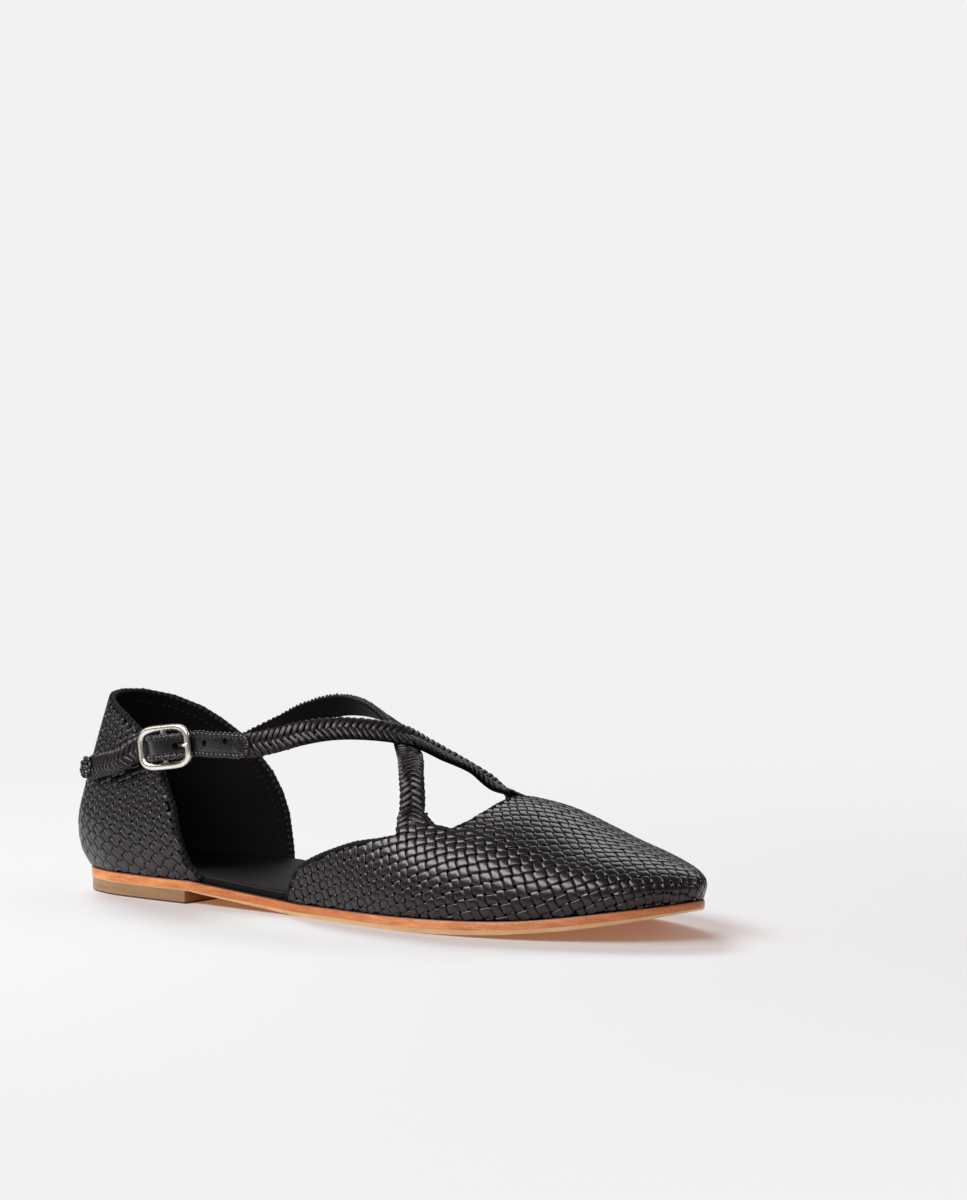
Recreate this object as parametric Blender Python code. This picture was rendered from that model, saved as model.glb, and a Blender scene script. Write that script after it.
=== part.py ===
import bpy
import bmesh
import math
import numpy as np
from mathutils import Matrix, Vector
from mathutils.bvhtree import BVHTree
from mathutils.geometry import delaunay_2d_cdt

# Right shoe, shaped in millimetres: +x to the toe, -y to the outer side, +z up, heel back at x = 0.
MM = 0.001
FIT_GAP = 0.4

# Outsole
SOLE_LENGTH = 247.0
HEEL_RISE = 4.4
WAIST_START = 60.0
WAIST_END = 108.0
WAIST_CURVE = 1.15
SPRING_START = 146.0
TOE_SPRING = 9.6
SPRING_CURVE = 2.6
SOLE_STEPS = 42
OUTLINE_STEPS = 1600
EDGE_ROUND = 0.5
BEVEL_SLOPE = 0.6

# columns: station, outer half width, inner half width
SOLE_ROWS = (
    (0, 0.0, 0.0),
    (2, 9.8, 9.6),
    (8, 18.4, 18.0),
    (20, 24.8, 24.2),
    (40, 28.1, 27.2),
    (60, 29.5, 26.4),
    (80, 30.0, 24.4),
    (100, 31.0, 23.6),
    (120, 34.5, 26.0),
    (140, 38.5, 31.5),
    (160, 40.9, 37.5),
    (175, 40.4, 40.3),
    (190, 38.3, 39.8),
    (205, 34.3, 36.4),
    (218, 29.0, 30.6),
    (230, 22.4, 22.8),
    (239, 15.0, 14.0),
    (244.5, 7.6, 6.4),
    (247, 0.0, 0.0),
)
# columns: station, thickness, height of the pale bevel
EDGE_ROWS = (
    (0, 3.8, 0.5),
    (60, 3.6, 0.5),
    (100, 4.2, 1.4),
    (140, 4.6, 1.7),
    (165, 4.8, 1.7),
    (200, 4.4, 1.6),
    (235, 4.0, 1.2),
    (247, 3.2, 0.8),
)

# Heel block and insole
HEEL_FRONT = 58.0
HEEL_INSET = 0.7
HEEL_ROUND = 0.4
HEEL_STEPS = 14
INSOLE_THICK = 2.5
INSOLE_ROUND = 0.6
INSOLE_STEPS = 36
# columns: station, inset from the sole edge
INSOLE_ROWS = (
    (0, 4.2),
    (66, 4.2),
    (71, 1.2),
    (96, 1.2),
    (99, 4.2),
    (247, 4.2),
)

# Upper walls
WALL = 2.0
WEAVE_PITCH = 3.5
WEAVE_RAISE = 0.32
EDGE_RAISE = 0.3
FEATHER_INSET = 0.6
EDGE_STEP = 3.2
LATTICE_CLEAR = 1.6
BELLY_SCALE = 1.5 * math.sqrt(3)
FACING_REACH = 0.4
FACING_TURN = 0.02
FACING_LIMIT = 0.01

# Vamp
WING_END = 102.5
THROAT = 173.0
FAN_START = 195.0
SPINE_END = 222.0
SPINE_SWING = 4.0
RIB_COUNT = 150
LIFT_COUNT = 41
PATTERN_MARGIN = 4.0
VAMP_BIAS = math.radians(22)
# columns: station, ridge height above the floor, roundness of the section, bulge over the sole edge
VAMP_ROWS = (
    (100, 64.0, 2.2, 1.5),
    (130, 54.0, 2.1, 1.8),
    (150, 47.2, 2.05, 2.0),
    (170, 41.4, 2.0, 2.0),
    (185, 38.9, 2.05, 2.0),
    (198, 35.0, 2.1, 2.0),
    (210, 31.4, 2.2, 2.1),
    (222, 28.4, 2.4, 2.2),
    (232, 26.4, 2.5, 2.3),
    (241, 25.2, 2.6, 2.4),
    (250, 24.8, 2.6, 2.4),
)
# columns: station, share of the ridge height; wing, ear that takes the strap, throat
OUTER_TOPLINE = (
    (102.5, 0.0),
    (107.3, 0.176),
    (112.0, 0.241),
    (118.8, 0.307),
    (126.3, 0.382),
    (135.5, 0.482),
    (144.6, 0.565),
    (147.8, 0.64),
    (148.6, 0.75),
    (157.4, 0.815),
    (160.2, 0.73),
    (163.8, 0.70),
    (168.2, 0.725),
    (172.4, 0.82),
    (173.9, 0.92),
    (173.2, 1.0),
)
INNER_TOPLINE = (
    (102.5, 0.0),
    (107.3, 0.176),
    (112.0, 0.241),
    (118.8, 0.307),
    (126.3, 0.382),
    (135.5, 0.482),
    (145.5, 0.59),
    (150.8, 0.68),
    (153.2, 0.80),
    (161.8, 0.885),
    (165.0, 0.83),
    (168.5, 0.845),
    (172.0, 0.905),
    (173.6, 0.96),
    (173.2, 1.0),
)
OUTER_EAR = (8, 9)
INNER_EAR = (8, 9)

# Quarter
QUARTER_FRONT = 66.0
QUARTER_BIAS = math.radians(38)
# columns: height, shift of the back, share of the sole's width
CUP_ROWS = (
    (8.0, -0.3, 1.0),
    (12.4, -3.8, 1.035),
    (21.0, -6.2, 1.05),
    (36.0, -3.2, 1.0),
    (47.0, 0.2, 0.945),
    (57.0, 3.0, 0.86),
    (67.0, 5.8, 0.76),
)
# columns: station, height of the top and front edge
OUTER_QUARTER = (
    (6.8, 66.5),
    (8.5, 66.0),
    (16.0, 63.8),
    (25.0, 60.6),
    (32.0, 57.2),
    (38.0, 53.6),
    (42.6, 49.2),
    (47.0, 43.5),
    (53.5, 32.0),
    (58.0, 19.0),
    (61.6, 12.6),
    (65.4, 9.4),
)
INNER_QUARTER = (
    (6.8, 66.5),
    (8.5, 66.0),
    (16.0, 63.8),
    (25.0, 60.2),
    (32.0, 56.2),
    (38.0, 52.2),
    (42.6, 48.0),
    (46.6, 43.8),
    (51.3, 39.0),
    (55.2, 32.5),
    (57.6, 25.5),
    (58.8, 18.0),
    (60.6, 9.4),
)

# Straps
STRAP_WIDE = 8.2
STRAP_THICK = 2.3
STRAP_STEP = 2.7
BRAID_RAISE = 0.3
BRAID_RIDGE = 0.62
BRAID_SHOULDER = 0.4
PATH_REACH = 0.3
EAR_GAP = 0.7
EAR_LEAD = 2.5
CROSS_SEAT = 48.4
CROSS_SEAT_GAP = 1.8
# columns: station, side, height, facing x, facing y, facing z
CROSS_ROWS = (
    (150.6, -24.2, 42.6, 0.22, -0.86, 0.45),
    (148.0, -20.8, 47.0, 0.28, -0.78, 0.55),
    (142.0, -14.2, 51.6, 0.4, -0.6, 0.68),
    (134.0, -5.8, 54.4, 0.52, -0.3, 0.79),
    (124.5, 2.2, 59.2, 0.5, 0.1, 0.85),
    (108.6, 9.8, 64.2, 0.3, 0.55, 0.75),
    (91.0, 16.6, 65.0, 0.15, 0.8, 0.55),
    (69.5, 22.8, 60.4, 0.05, 0.93, 0.35),
    (56.0, 25.6, 55.0, 0.0, 0.97, 0.24),
)
BUCKLE_STRAP_ROWS = (
    (152.2, 17.2, 43.9, 0.5, 0.42, 0.76),
    (146.8, 11.8, 47.8, 0.5, 0.25, 0.83),
    (140.8, 3.0, 53.4, 0.52, 0.0, 0.85),
    (136.2, -7.0, 58.8, 0.5, -0.3, 0.81),
    (123.9, -15.0, 61.2, 0.35, -0.6, 0.72),
    (114.5, -21.4, 61.2, 0.2, -0.8, 0.57),
    (107.5, -27.0, 59.9, 0.08, -0.93, 0.36),
    (98.0, -31.2, 57.0, 0.0, -0.98, 0.2),
    (88.0, -33.6, 54.9, 0.0, -0.99, 0.1),
)
PATCH_ROWS = (
    (79.5, -33.1, 54.6, 0.0, -0.99, 0.06),
    (71.5, -32.2, 54.2, 0.0, -0.99, 0.02),
)
TAIL_ROWS = (
    (30.6, -29.5, 46.4, -0.3, -0.95, 0.1),
    (20.8, -27.0, 43.9, -0.45, -0.88, 0.12),
    (12.0, -23.3, 42.0, -0.6, -0.79, 0.12),
    (5.0, -19.4, 40.8, -0.7, -0.7, 0.12),
    (2.6, -17.8, 40.4, -0.72, -0.68, 0.12),
)

# Buckle and hole patch
BUCKLE_PLACE = (52.0, -32.0, 52.2)
BUCKLE_TILT = math.radians(8)
BUCKLE_TURN = math.radians(-5.5)
BUCKLE_LONG = 22.7
BUCKLE_HIGH = 13.0
BUCKLE_CORNER = 4.4
CORNER_STEPS = 6
WIRE = 0.85
WIRE_SIDES = 10
MIDDLE_BAR = 0.8
PATCH_WIDE = 8.0
PATCH_THICK = 1.8
PATCH_DIP = -2.3
PATCH_LIFT = 3.5
PATCH_WAVES = 13
PATCH_STEP = 1.4
PATCH_ENTRY = 15.0
PATCH_EXIT = -14.6
PRONG = 0.6
PRONG_SIDES = 8
PRONG_LOOP = 1.75
PRONG_ARC = (150, 390)
LOOP_STEPS = 13
PRONG_HOLE = 1.25
STRAP_HOLE = 1.0
HOLE_SIDES = 12
CUTTER_REACH = 4.0
# columns: place along the patch in front of the middle bar, radius
HOLE_ROWS = (
    (4.6, PRONG_HOLE),
    (5.5, PRONG_HOLE),
    (17.9, STRAP_HOLE),
    (28.1, STRAP_HOLE),
)
# columns: place along the strap, lift over the middle bar
PRONG_ROWS = (
    (2.6, 0.45),
    (3.7, 0.5),
    (4.8, 1.2),
    (6.4, 2.0),
    (9.0, 1.9),
    (12.4, 1.75),
)
TAB_THICK = 1.0
TAB_LOOP = 1.6
TAB_SLOT = 1.1
TAB_SLOT_ENDS = (-3.2, 4.0)
TAB_WIDE = 7.8
TAB_SEAT = 50.4
TAB_SEAT_GAP = 3.0
TAB_ENTRY = (-4.2, -2.5)
TAB_ARC = (250, 480)

# columns: piece, red, green, blue, roughness, metallic
FINISHES = (
    ("outsole", 0.72, 0.27, 0.08, 0.5, 0.0),
    ("heel_block", 0.33, 0.2, 0.09, 0.55, 0.0),
    ("insole", 0.012, 0.012, 0.013, 0.7, 0.0),
    ("vamp", 0.02, 0.02, 0.023, 0.38, 0.0),
    ("quarter", 0.02, 0.02, 0.023, 0.38, 0.0),
    ("cross_strap", 0.022, 0.022, 0.025, 0.42, 0.0),
    ("buckle_strap", 0.022, 0.022, 0.025, 0.42, 0.0),
    ("hole_patch", 0.02, 0.02, 0.022, 0.4, 0.0),
    ("strap_tail", 0.022, 0.022, 0.025, 0.42, 0.0),
    ("buckle_frame", 0.8, 0.74, 0.6, 0.22, 1.0),
    ("buckle_prong", 0.8, 0.74, 0.6, 0.22, 1.0),
    ("buckle_tab", 0.02, 0.02, 0.022, 0.5, 0.0),
)


def column(rows, index):
    return np.array([row[index] for row in rows], float)


# smooth line through the rows of a table
def through(stations, values):
    knots = np.asarray(stations, float)
    levels = np.asarray(values, float)
    slopes = np.gradient(levels, knots)

    def at(place):
        place = np.clip(place, knots[0], knots[-1])
        seat = np.clip(np.searchsorted(knots, place, side="right") - 1, 0, len(knots) - 2)
        span = knots[seat + 1] - knots[seat]
        part = (place - knots[seat]) / span
        start = (1 + 2 * part) * (1 - part) ** 2 * levels[seat]
        start_slope = part * (1 - part) ** 2 * span * slopes[seat]
        finish = part ** 2 * (3 - 2 * part) * levels[seat + 1]
        finish_slope = part ** 2 * (part - 1) * span * slopes[seat + 1]
        return start + start_slope + finish + finish_slope

    return at


def unit(vectors):
    vectors = np.asarray(vectors, float)
    return vectors / np.linalg.norm(vectors, axis=-1, keepdims=True)


# Sole outline, from the heel back along the outer side to the toe, and the same on the inner side
def side_line(sign, index):
    stations = column(SOLE_ROWS, 0)
    widths = column(SOLE_ROWS, index) * sign
    mirrored = column(SOLE_ROWS, 3 - index) * -sign
    x = np.concatenate([stations[2:0:-1], stations, stations[-2:-4:-1]])
    y = np.concatenate([mirrored[2:0:-1], widths, mirrored[-2:-4:-1]])
    travel = np.concatenate([[0.0], np.cumsum(np.hypot(np.diff(x), np.diff(y)))])
    dense = np.linspace(travel[2], travel[-3], OUTLINE_STEPS)
    dense_x = through(travel, x)(dense)
    dense_y = through(travel, y)(dense)
    tangent = unit(np.stack([np.gradient(dense_x), np.gradient(dense_y)], 1))
    outward = np.stack([-tangent[:, 1], tangent[:, 0]], 1) * sign
    outward[0] = (-1.0, 0.0)
    outward[-1] = (1.0, 0.0)
    length = np.concatenate([[0.0], np.cumsum(np.hypot(np.diff(dense_x), np.diff(dense_y)))])
    return {"x": np.maximum.accumulate(dense_x), "y": dense_y, "out": outward, "length": length}


SIDES = {-1: side_line(-1, 1), 1: side_line(1, 2)}


def edge_point(side, length, inset):
    line = SIDES[side]
    x = np.interp(length, line["length"], line["x"])
    y = np.interp(length, line["length"], line["y"])
    out_x = np.interp(length, line["length"], line["out"][:, 0])
    out_y = np.interp(length, line["length"], line["out"][:, 1])
    return x - out_x * inset, y - out_y * inset, out_x, out_y


def length_at(side, station):
    return np.interp(station, SIDES[side]["x"], SIDES[side]["length"])


thick_at = through(column(EDGE_ROWS, 0), column(EDGE_ROWS, 1))
bevel_at = through(column(EDGE_ROWS, 0), column(EDGE_ROWS, 2))


def under_at(station):
    station = np.asarray(station, float)
    waist = np.clip((WAIST_END - station) / (WAIST_END - WAIST_START), 0, 1)
    spring = np.clip((station - SPRING_START) / (SOLE_LENGTH - SPRING_START), 0, 1)
    return HEEL_RISE * waist ** WAIST_CURVE + TOE_SPRING * spring ** SPRING_CURVE


def sole_top(station):
    station = np.clip(station, 0, SOLE_LENGTH)
    return under_at(station) + thick_at(station)


def make_mesh(name, points, faces):
    mesh = bpy.data.meshes.new(name)
    mesh.from_pydata([tuple(np.asarray(point, float) * MM) for point in points], [], faces)
    body = bmesh.new()
    body.from_mesh(mesh)
    bmesh.ops.triangulate(body, faces=body.faces)
    bmesh.ops.recalc_face_normals(body, faces=body.faces)
    if body.calc_volume(signed=True) < 0:
        bmesh.ops.reverse_faces(body, faces=body.faces)
    body.to_mesh(mesh)
    body.free()
    piece = bpy.data.objects.new(name, mesh)
    bpy.context.scene.collection.objects.link(piece)
    return piece


# Plate between two ends of the sole: rings of (inset, height) stacked from the top down
def plate(name, stations, rings, open_front):
    stations = np.asarray(stations, float)
    points = []
    loops = []
    for inset, height in rings:
        outer = edge_point(-1, length_at(-1, stations), inset(stations))
        inner = edge_point(1, length_at(1, stations), inset(stations))
        loop = []
        for index in range(len(stations)):
            loop.append(len(points))
            points.append((outer[0][index], outer[1][index], height(stations[index])))
        last = 1 if open_front else 2
        for index in range(len(stations) - last, 0, -1):
            loop.append(len(points))
            points.append((inner[0][index], inner[1][index], height(stations[index])))
        loops.append(loop)
    faces = []
    count = len(loops[0])
    for upper, lower in zip(loops, loops[1:]):
        for index in range(count):
            after = (index + 1) % count
            faces.append((upper[index], upper[after], lower[after], lower[index]))
    for loop in (loops[0], loops[-1]):
        for index in range(len(stations) - 1):
            corners = [loop[index], loop[index + 1], loop[-index - 1], loop[-index % count]]
            kept = list(dict.fromkeys(corners))
            if len(kept) > 2:
                faces.append(tuple(kept))
    return make_mesh(name, points, faces)


def spaced(start, finish, count):
    turn = (1 - np.cos(np.linspace(0, math.pi, count))) / 2
    return start + (finish - start) * turn


def make_outsole():
    flat = np.linspace(WAIST_END, SPRING_START, 3)
    stations = spaced(0.0, SOLE_LENGTH, SOLE_STEPS)
    stations = np.unique(np.round(np.concatenate([stations, flat, [WAIST_START]]), 3))
    rings = (
        (lambda x: 0 * x + EDGE_ROUND, lambda x: sole_top(x)),
        (lambda x: 0 * x, lambda x: sole_top(x) - EDGE_ROUND),
        (lambda x: 0 * x, lambda x: under_at(x) + bevel_at(x)),
        (lambda x: bevel_at(x) * BEVEL_SLOPE, lambda x: under_at(x)),
    )
    return plate("outsole", stations, rings, False)


def make_heel_block():
    stations = HEEL_FRONT * (1 - np.cos(np.linspace(0, math.pi / 2, HEEL_STEPS)))
    top = HEEL_RISE - FIT_GAP
    rings = (
        (lambda x: 0 * x + HEEL_INSET, lambda x: top),
        (lambda x: 0 * x + HEEL_INSET, lambda x: HEEL_ROUND),
        (lambda x: 0 * x + HEEL_INSET + HEEL_ROUND, lambda x: 0.0),
    )
    return plate("heel_block", stations, rings, True)


def make_insole():
    shelf = column(INSOLE_ROWS, 0)[1:-1]
    stations = np.unique(np.round(np.concatenate([spaced(0.0, SOLE_LENGTH, INSOLE_STEPS), shelf]), 3))

    def inset(x):
        return np.interp(x, column(INSOLE_ROWS, 0), column(INSOLE_ROWS, 1))

    rings = (
        (lambda x: inset(x) + INSOLE_ROUND, lambda x: sole_top(x) + FIT_GAP + INSOLE_THICK),
        (inset, lambda x: sole_top(x) + FIT_GAP + INSOLE_THICK - INSOLE_ROUND),
        (inset, lambda x: sole_top(x) + FIT_GAP),
    )
    return plate("insole", stations, rings, False)


# Vamp: ribs rise from the sole edge to a spine along the top and fan round the toe
ridge_at = through(column(VAMP_ROWS, 0), column(VAMP_ROWS, 1))
round_at = through(column(VAMP_ROWS, 0), column(VAMP_ROWS, 2))
bulge_at = through(column(VAMP_ROWS, 0), column(VAMP_ROWS, 3))


def spine_at(station):
    reach = SOLE_LENGTH - FAN_START
    past = np.clip((station - FAN_START) / reach, 0, 1)
    bend = 1 - (SPINE_END - FAN_START) / reach
    return np.where(station < FAN_START, station, FAN_START + reach * (past - bend * past ** 2))


def vamp_point(side, length, lift):
    foot_x, foot_y, out_x, out_y = edge_point(side, length, FEATHER_INSET)
    station = np.interp(length, SIDES[side]["length"], SIDES[side]["x"])
    top_x = spine_at(station)
    top_y = SPINE_SWING * (1 - (top_x - WING_END) / (SOLE_LENGTH - WING_END))
    power = 2 / round_at(station)
    inward = 1 - np.cos(lift) ** power
    rise = np.clip(np.sin(lift), 0, 1) ** power
    belly = bulge_at(station) * BELLY_SCALE * np.sin(lift) * np.cos(lift) ** 2
    x = foot_x + (top_x - foot_x) * inward + out_x * belly
    y = foot_y + (top_y - foot_y) * inward + out_y * belly
    foot_z = sole_top(station) + FIT_GAP
    z = foot_z + (ridge_at(x) - foot_z) * rise
    return np.stack([x, y, z], -1)


def vamp_facing(side, length, lift):
    middle = np.clip(lift, FACING_LIMIT, math.pi / 2 - FACING_LIMIT)
    low = np.clip(middle - FACING_TURN, 0, math.pi / 2)
    high = np.clip(middle + FACING_TURN, 0, math.pi / 2)
    limit = SIDES[side]["length"][-1]
    back = np.clip(length - FACING_REACH, 0, limit)
    ahead = np.clip(length + FACING_REACH, 0, limit)
    along = vamp_point(side, ahead, middle) - vamp_point(side, back, middle)
    up = vamp_point(side, length, high) - vamp_point(side, length, low)
    return unit(np.cross(along, up) * -side)


# Flat pattern of one side of the vamp: every rib laid flat from the spine
def vamp_pattern(side):
    line = SIDES[side]
    lengths = np.linspace(length_at(side, WING_END) - PATTERN_MARGIN, line["length"][-1], RIB_COUNT)
    lifts = np.linspace(0, math.pi / 2, LIFT_COUNT)
    grid_length, grid_lift = np.meshgrid(lengths, lifts, indexing="ij")
    body = vamp_point(side, grid_length, grid_lift)
    steps = np.linalg.norm(np.diff(body, axis=1), axis=2)
    climbed = np.concatenate([np.zeros((RIB_COUNT, 1)), np.cumsum(steps, axis=1)], axis=1)
    station = np.interp(lengths, line["length"], line["x"])
    whole = climbed[:, -1].copy()
    at_throat = np.interp(THROAT, station, whole)
    whole = np.where(station < THROAT, at_throat, whole)
    spine = body[:, -1, :2]
    away = unit(body[:, 0, :2] - spine)
    reach = whole[:, None] - climbed
    flat = spine[:, None, :] + away[:, None, :] * reach[:, :, None]
    return {"length": grid_length, "lift": grid_lift, "flat": flat}


PATTERNS = {-1: vamp_pattern(-1), 1: vamp_pattern(1)}


def pattern_finder(side):
    pattern = PATTERNS[side]
    corners = [(float(x), float(y), 0.0) for x, y in pattern["flat"].reshape(-1, 2)]
    faces = []
    for rib in range(RIB_COUNT - 1):
        for step in range(LIFT_COUNT - 1):
            first = rib * LIFT_COUNT + step
            faces.append((first, first + 1, first + LIFT_COUNT + 1))
            faces.append((first, first + LIFT_COUNT + 1, first + LIFT_COUNT))
    return {"tree": BVHTree.FromPolygons(corners, faces), "corners": corners, "faces": faces}


FINDERS = {-1: pattern_finder(-1), 1: pattern_finder(1)}


def place_on_vamp(flat):
    best = None
    for side in (-1, 1):
        finder = FINDERS[side]
        spot, _, face, away = finder["tree"].find_nearest(Vector((flat[0], flat[1], 0.0)))
        if best is None or away < best[0]:
            best = (away, side, face, spot)
    _, side, face, spot = best
    tri = FINDERS[side]["faces"][face]
    a, b, c = (Vector(FINDERS[side]["corners"][corner]) for corner in tri)
    whole = (b - a).cross(c - a).z
    share_b = (spot - a).cross(c - a).z / whole
    share_c = (b - a).cross(spot - a).z / whole
    shares = np.array([1 - share_b - share_c, share_b, share_c])
    pattern = PATTERNS[side]
    length = float(shares @ pattern["length"].reshape(-1)[list(tri)])
    lift = float(shares @ pattern["lift"].reshape(-1)[list(tri)])
    return side, length, lift


def flat_on_vamp(side, length, lift):
    pattern = PATTERNS[side]
    rib = np.interp(length, pattern["length"][:, 0], np.arange(RIB_COUNT))
    low = min(int(rib), RIB_COUNT - 2)
    part = rib - low
    spots = []
    for index in (low, low + 1):
        x = np.interp(lift, pattern["lift"][index], pattern["flat"][index, :, 0])
        y = np.interp(lift, pattern["lift"][index], pattern["flat"][index, :, 1])
        spots.append(np.array([x, y]))
    return spots[0] * (1 - part) + spots[1] * part


def walk(corners, step):
    corners = np.asarray(corners, float)
    spans = np.hypot(*np.diff(corners[:, :2], axis=0).T)
    travel = np.concatenate([[0.0], np.cumsum(spans)])
    places = [0.0]
    for start, finish in zip(travel, travel[1:]):
        count = max(1, int(round((finish - start) / step)))
        places.extend(start + (finish - start) * (index + 1) / count for index in range(count))
    return np.stack([np.interp(places, travel, corners[:, axis]) for axis in range(corners.shape[1])], 1)


def topline_lift(station, share):
    return math.asin(min(1.0, share) ** (round_at(station) / 2))


def topline_seat(side, station, share):
    return side, float(length_at(side, station)), topline_lift(station, share)


# Woven wall over a flat pattern: lattice of strip crossings inside a border, raised by turns
def woven_wall(name, border, bias, seat_of, outer_at, inner_at):
    loop = np.array([seat["flat"] for seat in border])
    middle = loop.mean(axis=0)
    turn = np.array([[math.cos(bias), math.sin(bias)], [-math.sin(bias), math.cos(bias)]])
    turned = (loop - middle) @ turn.T
    low = np.floor(turned.min(axis=0) / WEAVE_PITCH).astype(int)
    high = np.ceil(turned.max(axis=0) / WEAVE_PITCH).astype(int)
    seats = list(border)
    after = np.roll(loop, -1, axis=0)
    for row in range(low[1], high[1] + 1):
        for stripe in range(low[0], high[0] + 1):
            spot = np.array([stripe, row]) * WEAVE_PITCH @ turn + middle
            if not inside(spot, loop, after):
                continue
            if clearance(spot, loop, after) < LATTICE_CLEAR:
                continue
            seat = seat_of(spot)
            seat["flat"] = spot
            seat["raise"] = WEAVE_RAISE if (stripe + row) % 2 else -WEAVE_RAISE
            seats.append(seat)
    flat = [Vector((float(seat["flat"][0]), float(seat["flat"][1]))) for seat in seats]
    ring = [(index, (index + 1) % len(border)) for index in range(len(border))]
    found = delaunay_2d_cdt(flat, ring, [list(range(len(border)))], 1, 1e-6, True)
    owners = [source[0] for source in found[3]]
    kept = [seats[owner] for owner in owners]
    outer = [outer_at(seat) for seat in kept]
    inner = [inner_at(seat) for seat in kept]
    count = len(kept)
    faces = []
    for face in found[2]:
        heart = np.mean([kept[corner]["flat"] for corner in face], axis=0)
        if inside(heart, loop, after):
            faces.append(tuple(face))
    whole = list(faces)
    whole.extend(tuple(corner + count for corner in reversed(face)) for face in faces)
    edges = {pair for face in faces for pair in zip(face, face[1:] + face[:1])}
    for start, finish in sorted(edges):
        if (finish, start) not in edges:
            whole.append((finish, start, start + count, finish + count))
    return make_mesh(name, outer + inner, whole)


def inside(spot, loop, after):
    crosses = (loop[:, 1] > spot[1]) != (after[:, 1] > spot[1])
    rise = np.where(after[:, 1] == loop[:, 1], 1.0, after[:, 1] - loop[:, 1])
    reach = loop[:, 0] + (spot[1] - loop[:, 1]) * (after[:, 0] - loop[:, 0]) / rise
    return np.count_nonzero(crosses & (spot[0] < reach)) % 2 == 1


def clearance(spot, loop, after):
    span = after - loop
    square = np.maximum((span ** 2).sum(1), 1e-9)
    share = np.clip(((spot - loop) * span).sum(1) / square, 0, 1)
    return np.linalg.norm(loop + span * share[:, None] - spot, axis=1).min()


def vamp_outer(seat):
    spot = vamp_point(seat["side"], seat["length"], seat["lift"])
    return spot + vamp_facing(seat["side"], seat["length"], seat["lift"]) * seat["raise"]


def vamp_inner(seat):
    spot = vamp_point(seat["side"], seat["length"], seat["lift"])
    facing = vamp_facing(seat["side"], seat["length"], seat["lift"])
    if seat["lift"] == 0:
        facing = unit(facing * np.array([1.0, 1.0, 0.0]))
    return spot - facing * WALL


def vamp_seat(side, length, lift, lifted):
    seat = {"side": side, "length": float(length), "lift": float(lift), "raise": lifted}
    seat["flat"] = flat_on_vamp(side, seat["length"], seat["lift"])
    return seat


def seat_from_flat(spot):
    side, length, lift = place_on_vamp(spot)
    return {"side": side, "length": length, "lift": lift}


def vamp_border():
    border = []
    outer_end = SIDES[-1]["length"][-1]
    inner_end = SIDES[1]["length"][-1]
    start = float(length_at(-1, WING_END))
    count = int((outer_end - start) / EDGE_STEP)
    border.extend(vamp_seat(-1, length, 0.0, 0.0) for length in np.linspace(start, outer_end, count)[:-1])
    start = float(length_at(1, WING_END))
    count = int((inner_end - start) / EDGE_STEP)
    border.extend(vamp_seat(1, length, 0.0, 0.0) for length in np.linspace(inner_end, start, count)[:-1])
    for side, rows in ((1, INNER_TOPLINE), (-1, tuple(reversed(OUTER_TOPLINE)))):
        seats = []
        for station, share in rows:
            seats.append((float(length_at(side, station)), topline_lift(station, share)))
        flats = np.array([np.append(flat_on_vamp(side, *seat), seat) for seat in seats])
        line = walk(flats, EDGE_STEP)
        border.extend(vamp_seat(side, length, lift, EDGE_RAISE) for length, lift in line[:-1, 2:])
    return border


def make_vamp():
    return woven_wall("vamp", vamp_border(), VAMP_BIAS, seat_from_flat, vamp_outer, vamp_inner)


# Quarter: the sole's heel outline carried up, bulging low at the back and closing in at the top
back_at = through(column(CUP_ROWS, 0), column(CUP_ROWS, 1))
share_at = through(column(CUP_ROWS, 0), column(CUP_ROWS, 2))


def quarter_point(around, height):
    side = -1 if around < 0 else 1
    x, y, _, _ = edge_point(side, abs(around), FEATHER_INSET)
    shift = back_at(height)
    return np.array([x + shift * (1 - x / QUARTER_FRONT), y * share_at(height), height], float)


def quarter_facing(around, height):
    along = quarter_point(around + FACING_REACH, height) - quarter_point(around - FACING_REACH, height)
    up = quarter_point(around, height + FACING_REACH) - quarter_point(around, height - FACING_REACH)
    return unit(np.cross(up, along))


def quarter_around(side, station, height):
    shift = back_at(height)
    foot = (station - shift) / (1 - shift / QUARTER_FRONT)
    return side * float(length_at(side, max(foot - FEATHER_INSET, 0.0)))


def quarter_seat(spot, lifted):
    return {"flat": np.array(spot, float), "raise": lifted}


def quarter_outer(seat):
    return quarter_point(*seat["flat"]) + quarter_facing(*seat["flat"]) * seat["raise"]


def quarter_inner(seat):
    facing = quarter_facing(*seat["flat"])
    if seat.get("foot"):
        facing = unit(facing * np.array([1.0, 1.0, 0.0]))
    return quarter_point(*seat["flat"]) - facing * WALL


def quarter_border():
    border = []
    start = quarter_around(-1, *OUTER_QUARTER[-1])
    finish = quarter_around(1, *INNER_QUARTER[-1])
    count = int((finish - start) / EDGE_STEP)
    for around in np.linspace(start, finish, count):
        x = edge_point(-1 if around < 0 else 1, abs(around), FEATHER_INSET)[0]
        seat = quarter_seat((around, float(sole_top(x)) + FIT_GAP), 0.0)
        seat["foot"] = True
        border.append(seat)
    rows = [(quarter_around(1, x, z), z) for x, z in reversed(INNER_QUARTER[1:])]
    rows.append((0.0, OUTER_QUARTER[0][1]))
    rows.extend((quarter_around(-1, x, z), z) for x, z in OUTER_QUARTER[1:])
    border.extend(quarter_seat(spot, EDGE_RAISE) for spot in walk(rows, EDGE_STEP))
    return border


def make_quarter():
    return woven_wall("quarter", quarter_border(), QUARTER_BIAS, lambda spot: {}, quarter_outer, quarter_inner)


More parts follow.
